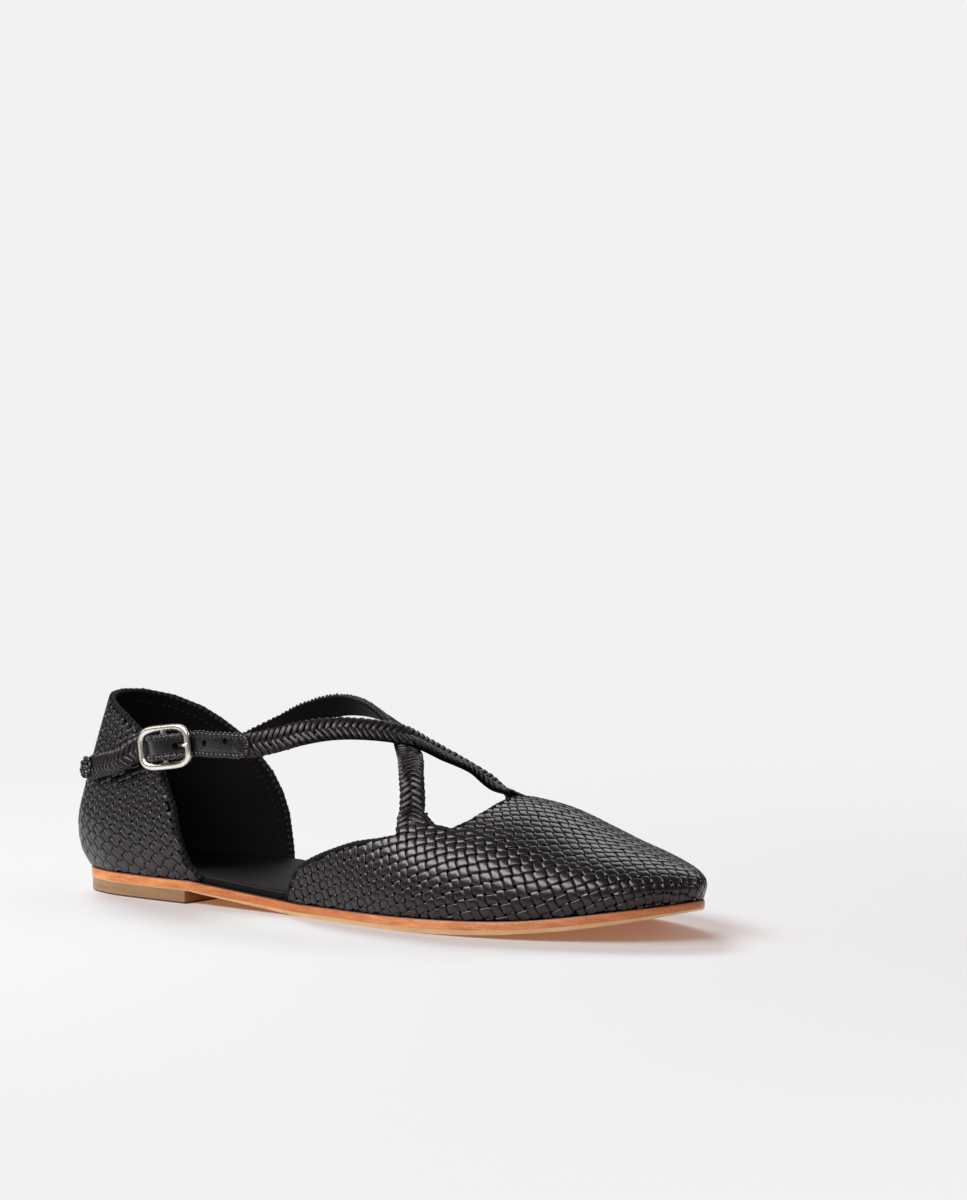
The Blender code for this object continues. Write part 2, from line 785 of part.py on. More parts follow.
# Straps: a flat section swept along a path, braided on its outer face
def path_along(rows):
    rows = np.asarray(rows, float)
    travel = np.concatenate([[0.0], np.cumsum(np.linalg.norm(np.diff(rows[:, :3], axis=0), axis=1))])
    lines = [through(travel, rows[:, axis]) for axis in range(6)]

    def at(place):
        spot = np.array([line(place) for line in lines[:3]])
        ahead = np.array([line(min(place + PATH_REACH, travel[-1])) for line in lines[:3]])
        behind = np.array([line(max(place - PATH_REACH, 0.0)) for line in lines[:3]])
        along = unit(ahead - behind)
        facing = np.array([line(place) for line in lines[3:]])
        facing = unit(facing - along * (facing @ along))
        return spot, along, facing, np.cross(along, facing)

    return at, travel[-1], travel


def sweep(name, frames, section):
    points = []
    rings = []
    for index, (spot, _, facing, across) in enumerate(frames):
        ring = []
        for wide, deep in section(index, len(frames)):
            ring.append(len(points))
            points.append(spot + across * wide + facing * deep)
        rings.append(ring)
    count = len(rings[0])
    faces = [tuple(reversed(rings[0])), tuple(rings[-1])]
    for ring, following in zip(rings, rings[1:]):
        for index in range(count):
            after = (index + 1) % count
            faces.append((ring[index], ring[after], following[after], following[index]))
    return make_mesh(name, points, faces)


def braid_section(index, count):
    half = STRAP_WIDE / 2
    top = STRAP_THICK / 2
    beat = BRAID_RAISE if index % 2 else -BRAID_RAISE
    end = 0.0 if index in (0, count - 1) else 1.0
    edge = half - max(0.0, beat) * end
    return (
        (-edge, -top),
        (edge, -top),
        (edge, top * BRAID_SHOULDER),
        (half * BRAID_RIDGE, top - beat * end),
        (0.0, top + beat * end),
        (-half * BRAID_RIDGE, top - beat * end),
        (-edge, top * BRAID_SHOULDER),
    )


# first row of a strap that grows out of an ear of the vamp
def ear_row(side, rows, ear, lead):
    ends = []
    for index in ear:
        _, length, lift = topline_seat(side, *rows[index])
        ends.append(vamp_point(side, length, lift) - vamp_facing(side, length, lift) * WALL / 2)
    station = (rows[ear[0]][0] + rows[ear[1]][0]) / 2
    share = (rows[ear[0]][1] + rows[ear[1]][1]) / 2
    _, length, lift = topline_seat(side, station, share)
    facing = vamp_facing(side, length, lift)
    middle = (ends[0] + ends[1]) / 2
    edge = unit(ends[1] - ends[0])
    upward = unit(np.cross(edge, facing))
    if upward @ (np.asarray(lead[:3]) - middle) < 0:
        upward = -upward
    start = middle + upward * EAR_GAP
    return tuple(start) + tuple(facing), tuple(start + upward * EAR_LEAD) + tuple(facing)


# middle of the wall on the front edge of the quarter
def quarter_edge(side, rows, height):
    station = float(np.interp(-height, -column(rows, 1), column(rows, 0)))
    around = quarter_around(side, station, height)
    facing = quarter_facing(around, height)
    return quarter_point(around, height) - facing * WALL / 2, facing


def make_cross_strap():
    rows = list(ear_row(-1, OUTER_TOPLINE, OUTER_EAR, CROSS_ROWS[0])) + list(CROSS_ROWS)
    seat, facing = quarter_edge(1, INNER_QUARTER, CROSS_SEAT)
    onward = unit(np.asarray(CROSS_ROWS[-1][:3]) - seat)
    rows.append(tuple(seat + onward * CROSS_SEAT_GAP) + tuple(facing))
    at, whole, _ = path_along(rows)
    return sweep("cross_strap", frames_between(at, 0.0, whole, STRAP_STEP), braid_section)


# Buckle frame of reference: along the strap, up across it, out from the foot
def buckle_axes():
    along = np.array([
        math.cos(BUCKLE_TILT) * math.cos(BUCKLE_TURN),
        math.cos(BUCKLE_TILT) * math.sin(BUCKLE_TURN),
        math.sin(BUCKLE_TILT),
    ])
    out = unit(np.cross(along, (0.0, 0.0, 1.0)))
    up = np.cross(out, along)
    return np.array(BUCKLE_PLACE), along, up, out


def in_buckle(place, high, lift):
    spot, along, up, out = buckle_axes()
    return spot + along * place + up * high + out * lift


# whole path of the buckle strap: braid from the inner ear, patch through the buckle, braided tail
def buckle_strap_path():
    _, _, _, out = buckle_axes()
    half = BUCKLE_LONG / 2
    middle = (PATCH_DIP + PATCH_LIFT) / 2
    swing = (PATCH_LIFT - PATCH_DIP) / 2
    rows = list(ear_row(1, INNER_TOPLINE, INNER_EAR, BUCKLE_STRAP_ROWS[0])) + list(BUCKLE_STRAP_ROWS)
    patch_start = len(rows) - 1
    rows.extend(PATCH_ROWS)
    rows.append(tuple(in_buckle(PATCH_ENTRY, 0.0, PATCH_DIP)) + tuple(out))
    for share in np.linspace(0, 2, PATCH_WAVES):
        lift = middle - swing * math.cos(math.pi * share)
        rows.append(tuple(in_buckle(half * (1 - share), 0.0, lift)) + tuple(out))
    rows.append(tuple(in_buckle(PATCH_EXIT, 0.0, PATCH_DIP)) + tuple(out))
    patch_finish = len(rows) - 1
    rows.extend(TAIL_ROWS)
    at, whole, travel = path_along(rows)
    return at, travel[patch_start], travel[patch_finish], whole


def frames_between(at, start, finish, step):
    count = max(3, int(round((finish - start) / step)) + 1)
    return [at(place) for place in np.linspace(start, finish, count)]


def patch_section(index, count):
    half = PATCH_WIDE / 2
    top = PATCH_THICK / 2
    return ((-half, -top), (half, -top), (half, top), (-half, top))


# frames along a bent line that keeps one direction across it
def frames_across(spots, across):
    spots = np.asarray(spots, float)
    frames = []
    for index, spot in enumerate(spots):
        ahead = spots[min(index + 1, len(spots) - 1)]
        behind = spots[max(index - 1, 0)]
        along = unit(ahead - behind)
        facing = unit(np.cross(along, across))
        frames.append((spot, along, facing, np.cross(along, facing)))
    return frames


def rod(name, spots, radius, sides, across):
    frames = frames_across(spots, across)
    turn = [2 * math.pi * index / sides for index in range(sides)]
    return sweep(name, frames, lambda index, count: [(radius * math.cos(a), radius * math.sin(a)) for a in turn])


# one body joined to a piece or cut out of it
def shape(piece, tool, operation):
    change = piece.modifiers.new("shape", "BOOLEAN")
    change.operation = operation
    change.solver = "EXACT"
    change.object = tool
    graph = bpy.context.evaluated_depsgraph_get()
    mesh = bpy.data.meshes.new_from_object(piece.evaluated_get(graph))
    piece.modifiers.clear()
    piece.data = mesh
    bpy.data.objects.remove(tool)


def make_hole_patch():
    at, start, finish, _ = buckle_strap_path()
    frames = frames_between(at, start, finish, PATCH_STEP)
    patch = sweep("hole_patch", frames, patch_section)
    spot, along, up, out = buckle_axes()
    offsets = np.array([frame[0] for frame in frames]) - spot
    for place, radius in HOLE_ROWS:
        nearest = int(np.argmin(abs(offsets @ along - place)))
        lift = float(offsets[nearest] @ out)
        ends = (in_buckle(place, 0.0, lift - CUTTER_REACH), in_buckle(place, 0.0, lift + CUTTER_REACH))
        shape(patch, rod("hole_cutter", ends, radius, HOLE_SIDES, up), "DIFFERENCE")
    return patch


def make_buckle_strap():
    at, start, _, _ = buckle_strap_path()
    return sweep("buckle_strap", frames_between(at, 0.0, start - FIT_GAP, STRAP_STEP), braid_section)


def make_strap_tail():
    at, _, finish, whole = buckle_strap_path()
    return sweep("strap_tail", frames_between(at, finish + FIT_GAP, whole, STRAP_STEP), braid_section)


def make_buckle_frame():
    half_long = BUCKLE_LONG / 2 - BUCKLE_CORNER
    half_high = BUCKLE_HIGH / 2 - BUCKLE_CORNER
    spots = []
    for turn, (side, high_side) in enumerate(((1, 1), (-1, 1), (-1, -1), (1, -1))):
        for angle in math.pi / 2 * (turn + np.linspace(0, 1, CORNER_STEPS)):
            place = side * half_long + BUCKLE_CORNER * math.cos(angle)
            high = high_side * half_high + BUCKLE_CORNER * math.sin(angle)
            spots.append((place, high))
    points = []
    count = len(spots)
    for index, (place, high) in enumerate(spots):
        along = unit(np.array(spots[(index + 1) % count]) - np.array(spots[index - 1]))
        for angle in np.linspace(0, 2 * math.pi, WIRE_SIDES, endpoint=False):
            spread = WIRE * math.cos(angle)
            lift = WIRE * math.sin(angle)
            points.append(in_buckle(place + along[1] * spread, high - along[0] * spread, lift))
    faces = []
    for index in range(count):
        following = (index + 1) % count
        for step in range(WIRE_SIDES):
            after = (step + 1) % WIRE_SIDES
            near = (index * WIRE_SIDES + step, index * WIRE_SIDES + after)
            faces.append(near + (following * WIRE_SIDES + after, following * WIRE_SIDES + step))
    frame = make_mesh("buckle_frame", points, faces)
    _, along, _, _ = buckle_axes()
    reach = BUCKLE_HIGH / 2
    ends = (in_buckle(0, -reach, 0), in_buckle(0, reach, 0))
    shape(frame, rod("middle_bar", ends, MIDDLE_BAR, WIRE_SIDES, along), "UNION")
    return frame


def arc_in_buckle(arc, radius):
    turns = np.radians(np.linspace(arc[0], arc[1], LOOP_STEPS))
    return [(radius * math.cos(turn), radius * math.sin(turn)) for turn in turns]


def make_buckle_prong():
    _, _, up, _ = buckle_axes()
    line = arc_in_buckle(PRONG_ARC, PRONG_LOOP) + list(PRONG_ROWS)
    spots = [in_buckle(place, 0.0, lift) for place, lift in line]
    return rod("buckle_prong", spots, PRONG, PRONG_SIDES, up)


def make_buckle_tab():
    spot, along, up, out = buckle_axes()
    seat = quarter_edge(-1, OUTER_QUARTER, TAB_SEAT)[0] - spot
    start = (float(seat @ along) + TAB_SEAT_GAP, float(seat @ out))
    line = [start, TAB_ENTRY] + arc_in_buckle(TAB_ARC, TAB_LOOP)
    spots = [in_buckle(place, 0.0, lift) for place, lift in line]
    half = TAB_WIDE / 2
    deep = TAB_THICK / 2
    section = ((-half, -deep), (half, -deep), (half, deep), (-half, deep))
    tab = sweep("buckle_tab", frames_across(spots, up), lambda index, count: section)
    corners = []
    for place in TAB_SLOT_ENDS:
        for high in (-TAB_SLOT, TAB_SLOT):
            for lift in (-CUTTER_REACH, CUTTER_REACH):
                corners.append(in_buckle(place, high, lift))
    box = ((0, 1, 3, 2), (4, 6, 7, 5), (0, 4, 5, 1), (2, 3, 7, 6), (0, 2, 6, 4), (1, 5, 7, 3))
    shape(tab, make_mesh("slot_cutter", corners, box), "DIFFERENCE")
    return tab


def finish(piece, colour, roughness, metallic):
    material = bpy.data.materials.new(piece.name)
    material.use_nodes = True
    shader = material.node_tree.nodes["Principled BSDF"]
    shader.inputs["Base Color"].default_value = (*colour, 1.0)
    shader.inputs["Roughness"].default_value = roughness
    shader.inputs["Metallic"].default_value = metallic
    piece.data.materials.clear()
    piece.data.materials.append(material)


def centre_on_floor(pieces):
    spots = np.array([piece.matrix_world @ vertex.co for piece in pieces for vertex in piece.data.vertices])
    low = spots.min(axis=0)
    high = spots.max(axis=0)
    shift = Vector((-(low[0] + high[0]) / 2, -(low[1] + high[1]) / 2, -low[2]))
    for piece in pieces:
        piece.data.transform(Matrix.Translation(shift))


for leftover in list(bpy.data.objects):
    bpy.data.objects.remove(leftover)

shoe = (
    make_outsole(),
    make_heel_block(),
    make_insole(),
    make_vamp(),
    make_quarter(),
    make_cross_strap(),
    make_buckle_strap(),
    make_hole_patch(),
    make_strap_tail(),
    make_buckle_frame(),
    make_buckle_prong(),
    make_buckle_tab(),
)
looks = {row[0]: row[1:] for row in FINISHES}
for part in shoe:
    red, green, blue, roughness, metallic = looks[part.name]
    finish(part, (red, green, blue), roughness, metallic)
centre_on_floor(shoe)
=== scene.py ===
import bpy
import bmesh
import math
import numpy as np
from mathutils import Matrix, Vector


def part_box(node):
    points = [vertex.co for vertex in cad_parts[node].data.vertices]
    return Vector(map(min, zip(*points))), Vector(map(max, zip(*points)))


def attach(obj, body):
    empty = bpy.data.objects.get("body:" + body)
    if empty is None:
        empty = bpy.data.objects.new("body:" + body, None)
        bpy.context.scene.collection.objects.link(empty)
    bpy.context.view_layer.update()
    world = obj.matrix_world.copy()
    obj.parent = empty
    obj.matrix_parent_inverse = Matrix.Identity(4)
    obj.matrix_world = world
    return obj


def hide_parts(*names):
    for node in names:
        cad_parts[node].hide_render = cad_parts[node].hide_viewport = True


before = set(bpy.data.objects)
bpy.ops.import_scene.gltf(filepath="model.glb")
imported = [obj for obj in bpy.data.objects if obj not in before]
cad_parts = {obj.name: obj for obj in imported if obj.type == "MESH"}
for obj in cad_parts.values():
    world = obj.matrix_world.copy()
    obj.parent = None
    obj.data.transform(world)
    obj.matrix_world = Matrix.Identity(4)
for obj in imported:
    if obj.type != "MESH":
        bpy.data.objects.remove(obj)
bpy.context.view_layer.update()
print("frame loaded:", len(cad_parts), "solids")

# Right shoe, shaped in millimetres: heel back at x = 0, +x to the toe, -y to the outer side, floor at z = 0
mm = 0.001
quarterTurn = math.pi / 2
fullTurn = 2 * math.pi

soleShape = {
    "length": 247.0, "heelRise": 4.4, "waistStart": 60.0, "waistEnd": 108.0, "waistCurve": 1.15,
    "springStart": 146.0, "toeSpring": 9.6, "springCurve": 2.6, "bevelSlope": 0.6, "edgeRound": 0.7,
    "steps": 170, "outlineSteps": 1600,
    # station, outer half width, inner half width
    "outline": (
        (0, 0, 0), (2, 9.8, 9.6), (8, 18.4, 18), (20, 24.8, 24.2), (40, 28.1, 27.2), (60, 29.5, 26.4),
        (80, 30, 24.4), (100, 31, 23.6), (120, 34.5, 26), (140, 38.5, 31.5), (160, 40.9, 37.5),
        (175, 40.4, 40.3), (190, 38.3, 39.8), (205, 34.3, 36.4), (218, 29, 30.6), (230, 22.4, 22.8),
        (239, 15, 14), (244.5, 7.6, 6.4), (247, 0, 0),
    ),
    # station, thickness of the edge, height of the pale bevel
    "edge": (
        (0, 3.8, 0.5), (60, 3.6, 0.5), (100, 4.2, 1.4), (140, 4.6, 1.7), (165, 4.8, 1.7),
        (200, 4.4, 1.6), (235, 4, 1.2), (247, 3.2, 0.8),
    ),
}


def column(rows, index):
    return np.array([row[index] for row in rows], float)


# smooth line through the rows of a table
def through(stations, values):
    knots = np.asarray(stations, float)
    levels = np.asarray(values, float)
    slopes = np.gradient(levels, knots)

    def at(place):
        place = np.clip(place, knots[0], knots[-1])
        seat = np.clip(np.searchsorted(knots, place, side="right") - 1, 0, len(knots) - 2)
        span = knots[seat + 1] - knots[seat]
        part = (place - knots[seat]) / span
        start = (1 + 2 * part) * (1 - part) ** 2 * levels[seat]
        startSlope = part * (1 - part) ** 2 * span * slopes[seat]
        finish = part ** 2 * (3 - 2 * part) * levels[seat + 1]
        finishSlope = part ** 2 * (part - 1) * span * slopes[seat + 1]
        return start + startSlope + finish + finishSlope

    return at


# one smooth line for each further column of a table
def linesOf(rows):
    return [through(column(rows, 0), column(rows, index)) for index in range(1, len(rows[0]))]


def unit(vectors):
    vectors = np.asarray(vectors, float)
    return vectors / np.maximum(np.linalg.norm(vectors, axis=-1, keepdims=True), 1e-12)


def limited(value):
    return min(max(value, 0.0), 1.0)


def spaced(start, finish, count):
    return start + (finish - start) * (1 - np.cos(np.linspace(0, math.pi, count))) / 2


def travelOf(points):
    return np.concatenate([[0.0], np.cumsum(np.linalg.norm(np.diff(points, axis=0), axis=1))])


# sole outline from the heel back to the toe, one side at a time
def sideLine(sign, index):
    stations = column(soleShape["outline"], 0)
    widths = column(soleShape["outline"], index) * sign
    mirrored = column(soleShape["outline"], 3 - index) * -sign
    x = np.concatenate([stations[2:0:-1], stations, stations[-2:-4:-1]])
    y = np.concatenate([mirrored[2:0:-1], widths, mirrored[-2:-4:-1]])
    travel = travelOf(np.stack([x, y], 1))
    dense = np.linspace(travel[2], travel[-3], soleShape["outlineSteps"])
    line = np.stack([through(travel, x)(dense), through(travel, y)(dense)], 1)
    tangent = unit(np.gradient(line, axis=0))
    outward = np.stack([-tangent[:, 1], tangent[:, 0]], 1) * sign
    outward[0] = (-1.0, 0.0)
    outward[-1] = (1.0, 0.0)
    x = np.maximum.accumulate(line[:, 0])
    return {"x": x, "y": line[:, 1], "out": outward, "length": travelOf(line)}


sides = {-1: sideLine(-1, 1), 1: sideLine(1, 2)}
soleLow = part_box("outsole")[0]
shift = np.array([soleLow[0] / mm, soleLow[1] / mm - sides[-1]["y"].min(), 0.0])


# place on the sole's edge, moved inward, and the way out from it
def edgePoint(side, length, inset):
    line = sides[side]
    rows = (line["x"], line["y"], *line["out"].T)
    x, y, outX, outY = (np.interp(length, line["length"], row) for row in rows)
    return x - outX * inset, y - outY * inset, outX, outY


def lengthAt(side, station):
    return np.interp(station, sides[side]["x"], sides[side]["length"])


thickAt, bevelAt = linesOf(soleShape["edge"])


def underAt(station):
    station = np.asarray(station, float)
    waist = (soleShape["waistEnd"] - station) / (soleShape["waistEnd"] - soleShape["waistStart"])
    spring = (station - soleShape["springStart"]) / (soleShape["length"] - soleShape["springStart"])
    rise = soleShape["heelRise"] * np.clip(waist, 0, 1) ** soleShape["waistCurve"]
    return rise + soleShape["toeSpring"] * np.clip(spring, 0, 1) ** soleShape["springCurve"]


def soleTop(station):
    station = np.clip(station, 0, soleShape["length"])
    return underAt(station) + thickAt(station)


# Mesh and piece helpers
def toWorld(points):
    return (np.asarray(points, float) + shift) * mm


def addPointValues(mesh, name, kind, values):
    layer = mesh.attributes.new(name, kind, "POINT")
    key = "vector" if kind == "FLOAT_VECTOR" else "value"
    layer.data.foreach_set(key, np.asarray(values, float).ravel())


def newObject(name, mesh):
    piece = bpy.data.objects.new(name, mesh)
    bpy.context.scene.collection.objects.link(piece)
    return piece


def newMesh(name, points, edges, faces):
    mesh = bpy.data.meshes.new(name)
    mesh.from_pydata([tuple(point) for point in toWorld(points)], edges, faces)
    return mesh


def smoothMesh(mesh, sharp):
    mesh.shade_smooth()
    if sharp:
        mesh.set_sharp_from_angle(angle=math.radians(sharp))


weldReach = 2e-6  # metres


def makePiece(name, points, faces, material, values=None, sharp=None):
    mesh = newMesh(name, points, [], faces)
    for label, numbers in (values or {}).items():
        addPointValues(mesh, label, "FLOAT", numbers)
    body = bmesh.new()
    body.from_mesh(mesh)
    bmesh.ops.remove_doubles(body, verts=body.verts, dist=weldReach)
    bmesh.ops.recalc_face_normals(body, faces=body.faces)
    if body.calc_volume(signed=True) < 0:
        bmesh.ops.reverse_faces(body, faces=body.faces)
    body.to_mesh(mesh)
    body.free()
    smoothMesh(mesh, sharp)
    mesh.materials.append(material)
    return newObject(name, mesh)


# faces between each row of corners and the next; a closed row meets its own start
def bandFaces(rows, closed=True):
    faces = []
    for row, following in zip(rows, rows[1:]):
        for index in range(len(row) if closed else len(row) - 1):
            after = (index + 1) % len(row)
            faces.append((row[index], row[after], following[after], following[index]))
    return faces


def seat(piece, slot, *nodes):
    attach(piece, "root")
    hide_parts(*nodes)
    print("made", piece.name, len(piece.data.polygons), "faces")
    return piece


# Node helpers: a flow is what one node hands to the next, and can be reckoned with like a number
class Flow:
    def __init__(self, tree, socket):
        self.tree = tree
        self.socket = socket
        self.wide = socket.type in ("VECTOR", "RGBA")

    def reckon(self, operation, other=None, place=1, out=0):
        kind = "ShaderNodeVectorMath" if self.wide else "ShaderNodeMath"
        inputs = {0: self} if other is None else {0: self, place: other}
        return flow(self.tree, kind, inputs, out, operation=operation)

    def __add__(self, other):
        return self.reckon("ADD", other)

    def __sub__(self, other):
        return self.reckon("SUBTRACT", other)

    def __rsub__(self, other):
        return flow(self.tree, "ShaderNodeMath", {0: other, 1: self}, operation="SUBTRACT")

    def __mul__(self, other):
        if self.wide and not getattr(other, "wide", isinstance(other, tuple)):
            return self.reckon("SCALE", other, "Scale")
        return self.reckon("MULTIPLY", other)

    def __truediv__(self, other):
        return self.reckon("DIVIDE", other)

    def parts(self):
        node = addNode(self.tree, "ShaderNodeSeparateXYZ", {0: self})
        return [Flow(self.tree, part) for part in node.outputs]

    def clamp(self, low=0.0, high=1.0):
        return flow(self.tree, "ShaderNodeClamp", {"Value": self, "Min": low, "Max": high})

    # from a start and finish to a low and high
    def spread(self, low, high, start=0.0, finish=1.0, **settings):
        inputs = {"Value": self, "From Min": start, "From Max": finish, "To Min": low, "To Max": high}
        return flow(self.tree, "ShaderNodeMapRange", inputs, "Result", **settings)

    def mix(self, first, second):
        return flow(self.tree, "ShaderNodeMix", {"Factor": self, 6: first, 7: second}, 2, data_type="RGBA")

    def noise(self, scale, detail, out="Fac", **more):
        inputs = {"Vector": self, "Scale": scale, "Detail": detail}
        return flow(self.tree, "ShaderNodeTexNoise", {**inputs, **more}, out)

    def bump(self, strength, distance):
        inputs = {"Height": self, "Strength": strength, "Distance": distance}
        return flow(self.tree, "ShaderNodeBump", inputs, "Normal")


def fillInputs(tree, node, inputs):
    for key, value in inputs.items():
        socket = node.inputs[key]
        if isinstance(value, Flow):
            tree.links.new(value.socket, socket)
        elif socket.type == "RGBA":
            socket.default_value = (*value, 1.0)
        else:
            socket.default_value = value


def addNode(tree, kind, inputs=None, **settings):
    node = tree.nodes.new(kind)
    for key, value in settings.items():
        setattr(node, key, value)
    fillInputs(tree, node, inputs or {})
    return node


def flow(tree, kind, inputs=None, out=0, **settings):
    return Flow(tree, addNode(tree, kind, inputs, **settings).outputs[out])


def combine(tree, x=0.0, y=0.0, z=0.0):
    return flow(tree, "ShaderNodeCombineXYZ", {"X": x, "Y": y, "Z": z})


def startTree(name, **inputs):
    tree = bpy.data.node_groups.new(name, "GeometryNodeTree")
    tree.interface.new_socket(name="Geometry", in_out="OUTPUT", socket_type="NodeSocketGeometry")
    for kind, labels in inputs.items():
        for label in labels:
            tree.interface.new_socket(name=label, in_out="INPUT", socket_type="NodeSocket" + kind.title())
    sockets = tree.nodes.new("NodeGroupInput").outputs
    return tree, {socket.name: Flow(tree, socket) for socket in sockets if socket.name}


def endTree(tree, geometry):
    addNode(tree, "NodeGroupOutput", {"Geometry": geometry})
    return tree


def dress(tree, geometry, material):
    whole = flow(tree, "GeometryNodeRealizeInstances", {"Geometry": geometry})
    smooth = flow(tree, "GeometryNodeSetShadeSmooth", {"Geometry": whole})
    return endTree(tree, flow(tree, "GeometryNodeSetMaterial", {"Geometry": smooth, "Material": material}))


def joined(tree, *parts):
    join = tree.nodes.new("GeometryNodeJoinGeometry")
    for part in parts:
        tree.links.new(part.socket, join.inputs[0])
    return Flow(tree, join.outputs[0])


def positionOf(tree):
    return flow(tree, "GeometryNodeInputPosition")


def named(tree, name, kind="FLOAT"):
    return flow(tree, "GeometryNodeInputNamedAttribute", {"Name": name}, "Attribute", data_type=kind)


def storeValue(geometry, name, value, kind="FLOAT"):
    inputs = {"Geometry": geometry, "Name": name, "Value": value}
    return flow(geometry.tree, "GeometryNodeStoreNamedAttribute", inputs, data_type=kind, domain="POINT")


def movedTo(geometry, **inputs):
    return flow(geometry.tree, "GeometryNodeSetPosition", {"Geometry": geometry, **inputs})


# grow a piece from its base by a tree, as a plain mesh
def growPiece(name, base, tree, values):
    modifier = base.modifiers.new("grow", "NODES")
    modifier.node_group = tree
    for item in tree.interface.items_tree:
        if item.item_type == "SOCKET" and item.in_out == "INPUT" and item.name in values:
            modifier[item.identifier] = values[item.name]
    graph = bpy.context.evaluated_depsgraph_get()
    grown = base.evaluated_get(graph)
    mesh = bpy.data.meshes.new_from_object(grown, preserve_all_data_layers=True, depsgraph=graph)
    old = base.data
    bpy.data.objects.remove(base)
    bpy.data.meshes.remove(old)
    mesh.name = name
    return newObject(name, mesh)


# Shader groups shared by the materials
def startGroup(name, inputs, outputs):
    group = bpy.data.node_groups.new(name, "ShaderNodeTree")
    for label, value in inputs.items():
        socket = group.interface.new_socket(name=label, in_out="INPUT", socket_type="NodeSocketFloat")
        socket.default_value = value
    for label in outputs:
        group.interface.new_socket(name=label, in_out="OUTPUT", socket_type="NodeSocketFloat")
    given = group.nodes.new("NodeGroupInput").outputs
    return group, {socket.name: Flow(group, socket) for socket in given if socket.name}


def objectPlace(tree):
    return flow(tree, "ShaderNodeTexCoord", None, "Object")


# fine pebbled grain with small pores
def makeGrain():
    group, given = startGroup("leatherGrain", {"Scale": 900.0, "Pores": 0.4}, ("Height", "Tone"))
    place = objectPlace(group)
    inputs = {"Vector": place, "Scale": given["Scale"], "Randomness": 0.9}
    pebble = flow(group, "ShaderNodeTexVoronoi", inputs, "Distance")
    pores = place.noise(given["Scale"] * 2.6, 3.0) * given["Pores"]  # finer than the pebbles
    tone = place.noise(given["Scale"] * 0.06, 4.0)  # broad light and dark
    addNode(group, "NodeGroupOutput", {"Height": 1.0 - pebble + pores, "Tone": tone})
    return group


# patchy rubbing and faint scratches
def makeWear():
    group, given = startGroup("softWear", {"Scale": 60.0, "Amount": 0.5}, ("Mask", "Scratch"))
    place = objectPlace(group)
    cloud = place.noise(given["Scale"], 6.0, Roughness=0.65)
    mask = ((cloud - 0.45) * 4.0).clamp() * given["Amount"]
    lines = (place * (1.0, 1.0, 9.0)).noise(given["Scale"] * 5.0, 2.0)
    addNode(group, "NodeGroupOutput", {"Mask": mask, "Scratch": lines * given["Amount"]})
    return group


leatherGrain = makeGrain()
softWear = makeWear()


def startMaterial(name):
    material = bpy.data.materials.new(name)
    material.use_nodes = True
    return material, material.node_tree, material.node_tree.nodes["Principled BSDF"]


def useGroup(tree, group, **values):
    node = addNode(tree, "ShaderNodeGroup", values, node_tree=group)
    return {socket.name: Flow(tree, socket) for socket in node.outputs}


def readValue(tree, name):
    return flow(tree, "ShaderNodeAttribute", None, "Fac", attribute_name=name)


# black leathers; gloss is the roughness from light to dark tones, crease is scale and depth of soft folds
leatherLook = {
    "wovenLeather": {
        "dark": (0.0035, 0.003, 0.0031), "light": (0.0105, 0.0092, 0.0096), "gloss": (0.22, 0.34),
        "coat": 0.38, "grain": 1100.0, "depth": 0.00006, "cells": True,
    },
    "braidLeather": {
        "dark": (0.0035, 0.003, 0.0031), "light": (0.007, 0.006, 0.0063), "gloss": (0.29, 0.5),
        "coat": 0.05, "grain": 1200.0, "depth": 0.00006, "cells": True,
    },
    "edgeLace": {
        "dark": (0.003, 0.0026, 0.0027), "light": (0.007, 0.0061, 0.0064), "gloss": (0.56, 0.72),
        "shine": 0.24, "grain": 1300.0, "depth": 0.00005,
    },
    "smoothLeather": {
        "dark": (0.004, 0.0035, 0.0036), "light": (0.01, 0.009, 0.0093), "gloss": (0.22, 0.34),
        "coat": 0.4, "grain": 1000.0, "depth": 0.00007, "crease": (420.0, 4.5),
    },
    "liningLeather": {
        "dark": (0.002, 0.0018, 0.0018), "light": (0.006, 0.0052, 0.0054), "gloss": (0.6, 0.75),
        "shine": 0.12, "grain": 850.0, "depth": 0.00009,
    },
    "insoleLeather": {
        "dark": (0.002, 0.0018, 0.0018), "light": (0.005, 0.0045, 0.0046), "gloss": (0.42, 0.56),
        "shine": 0.16, "grain": 800.0, "depth": 0.0001, "crease": (260.0, 4.0),
    },
}
# what all the leathers share
leatherBase = {"pores": 0.45, "wearScale": 70.0, "wear": 0.6, "wearRough": 0.1, "coatRough": 0.3,
               "shine": 0.5, "tint": (1.0, 0.89, 0.94), "bump": 0.55}


def makeLeather(name):
    look = leatherLook[name]
    material, tree, shader = startMaterial(name)
    grain = useGroup(tree, leatherGrain, Scale=look["grain"], Pores=leatherBase["pores"])
    wear = useGroup(tree, softWear, Scale=leatherBase["wearScale"], Amount=leatherBase["wear"])
    tone = grain["Tone"]
    if "cells" in look:
        tone = tone * 0.5 + readValue(tree, "cellTone") * 0.5
    low, high = look["gloss"]
    height = grain["Height"]
    if "crease" in look:
        scale, amount = look["crease"]
        height = height + objectPlace(tree).noise(scale, 2.0, Distortion=0.8) * amount
    fillInputs(tree, shader, {
        "Base Color": tone.mix(look["dark"], look["light"]),
        "Roughness": tone.spread(high, low) + wear["Mask"] * leatherBase["wearRough"],
        "Coat Weight": look.get("coat", 0.0), "Coat Roughness": leatherBase["coatRough"],
        "Specular IOR Level": look.get("shine", leatherBase["shine"]), "Specular Tint": leatherBase["tint"],
        "Normal": height.bump(leatherBase["bump"], look["depth"]),
    })
    return material


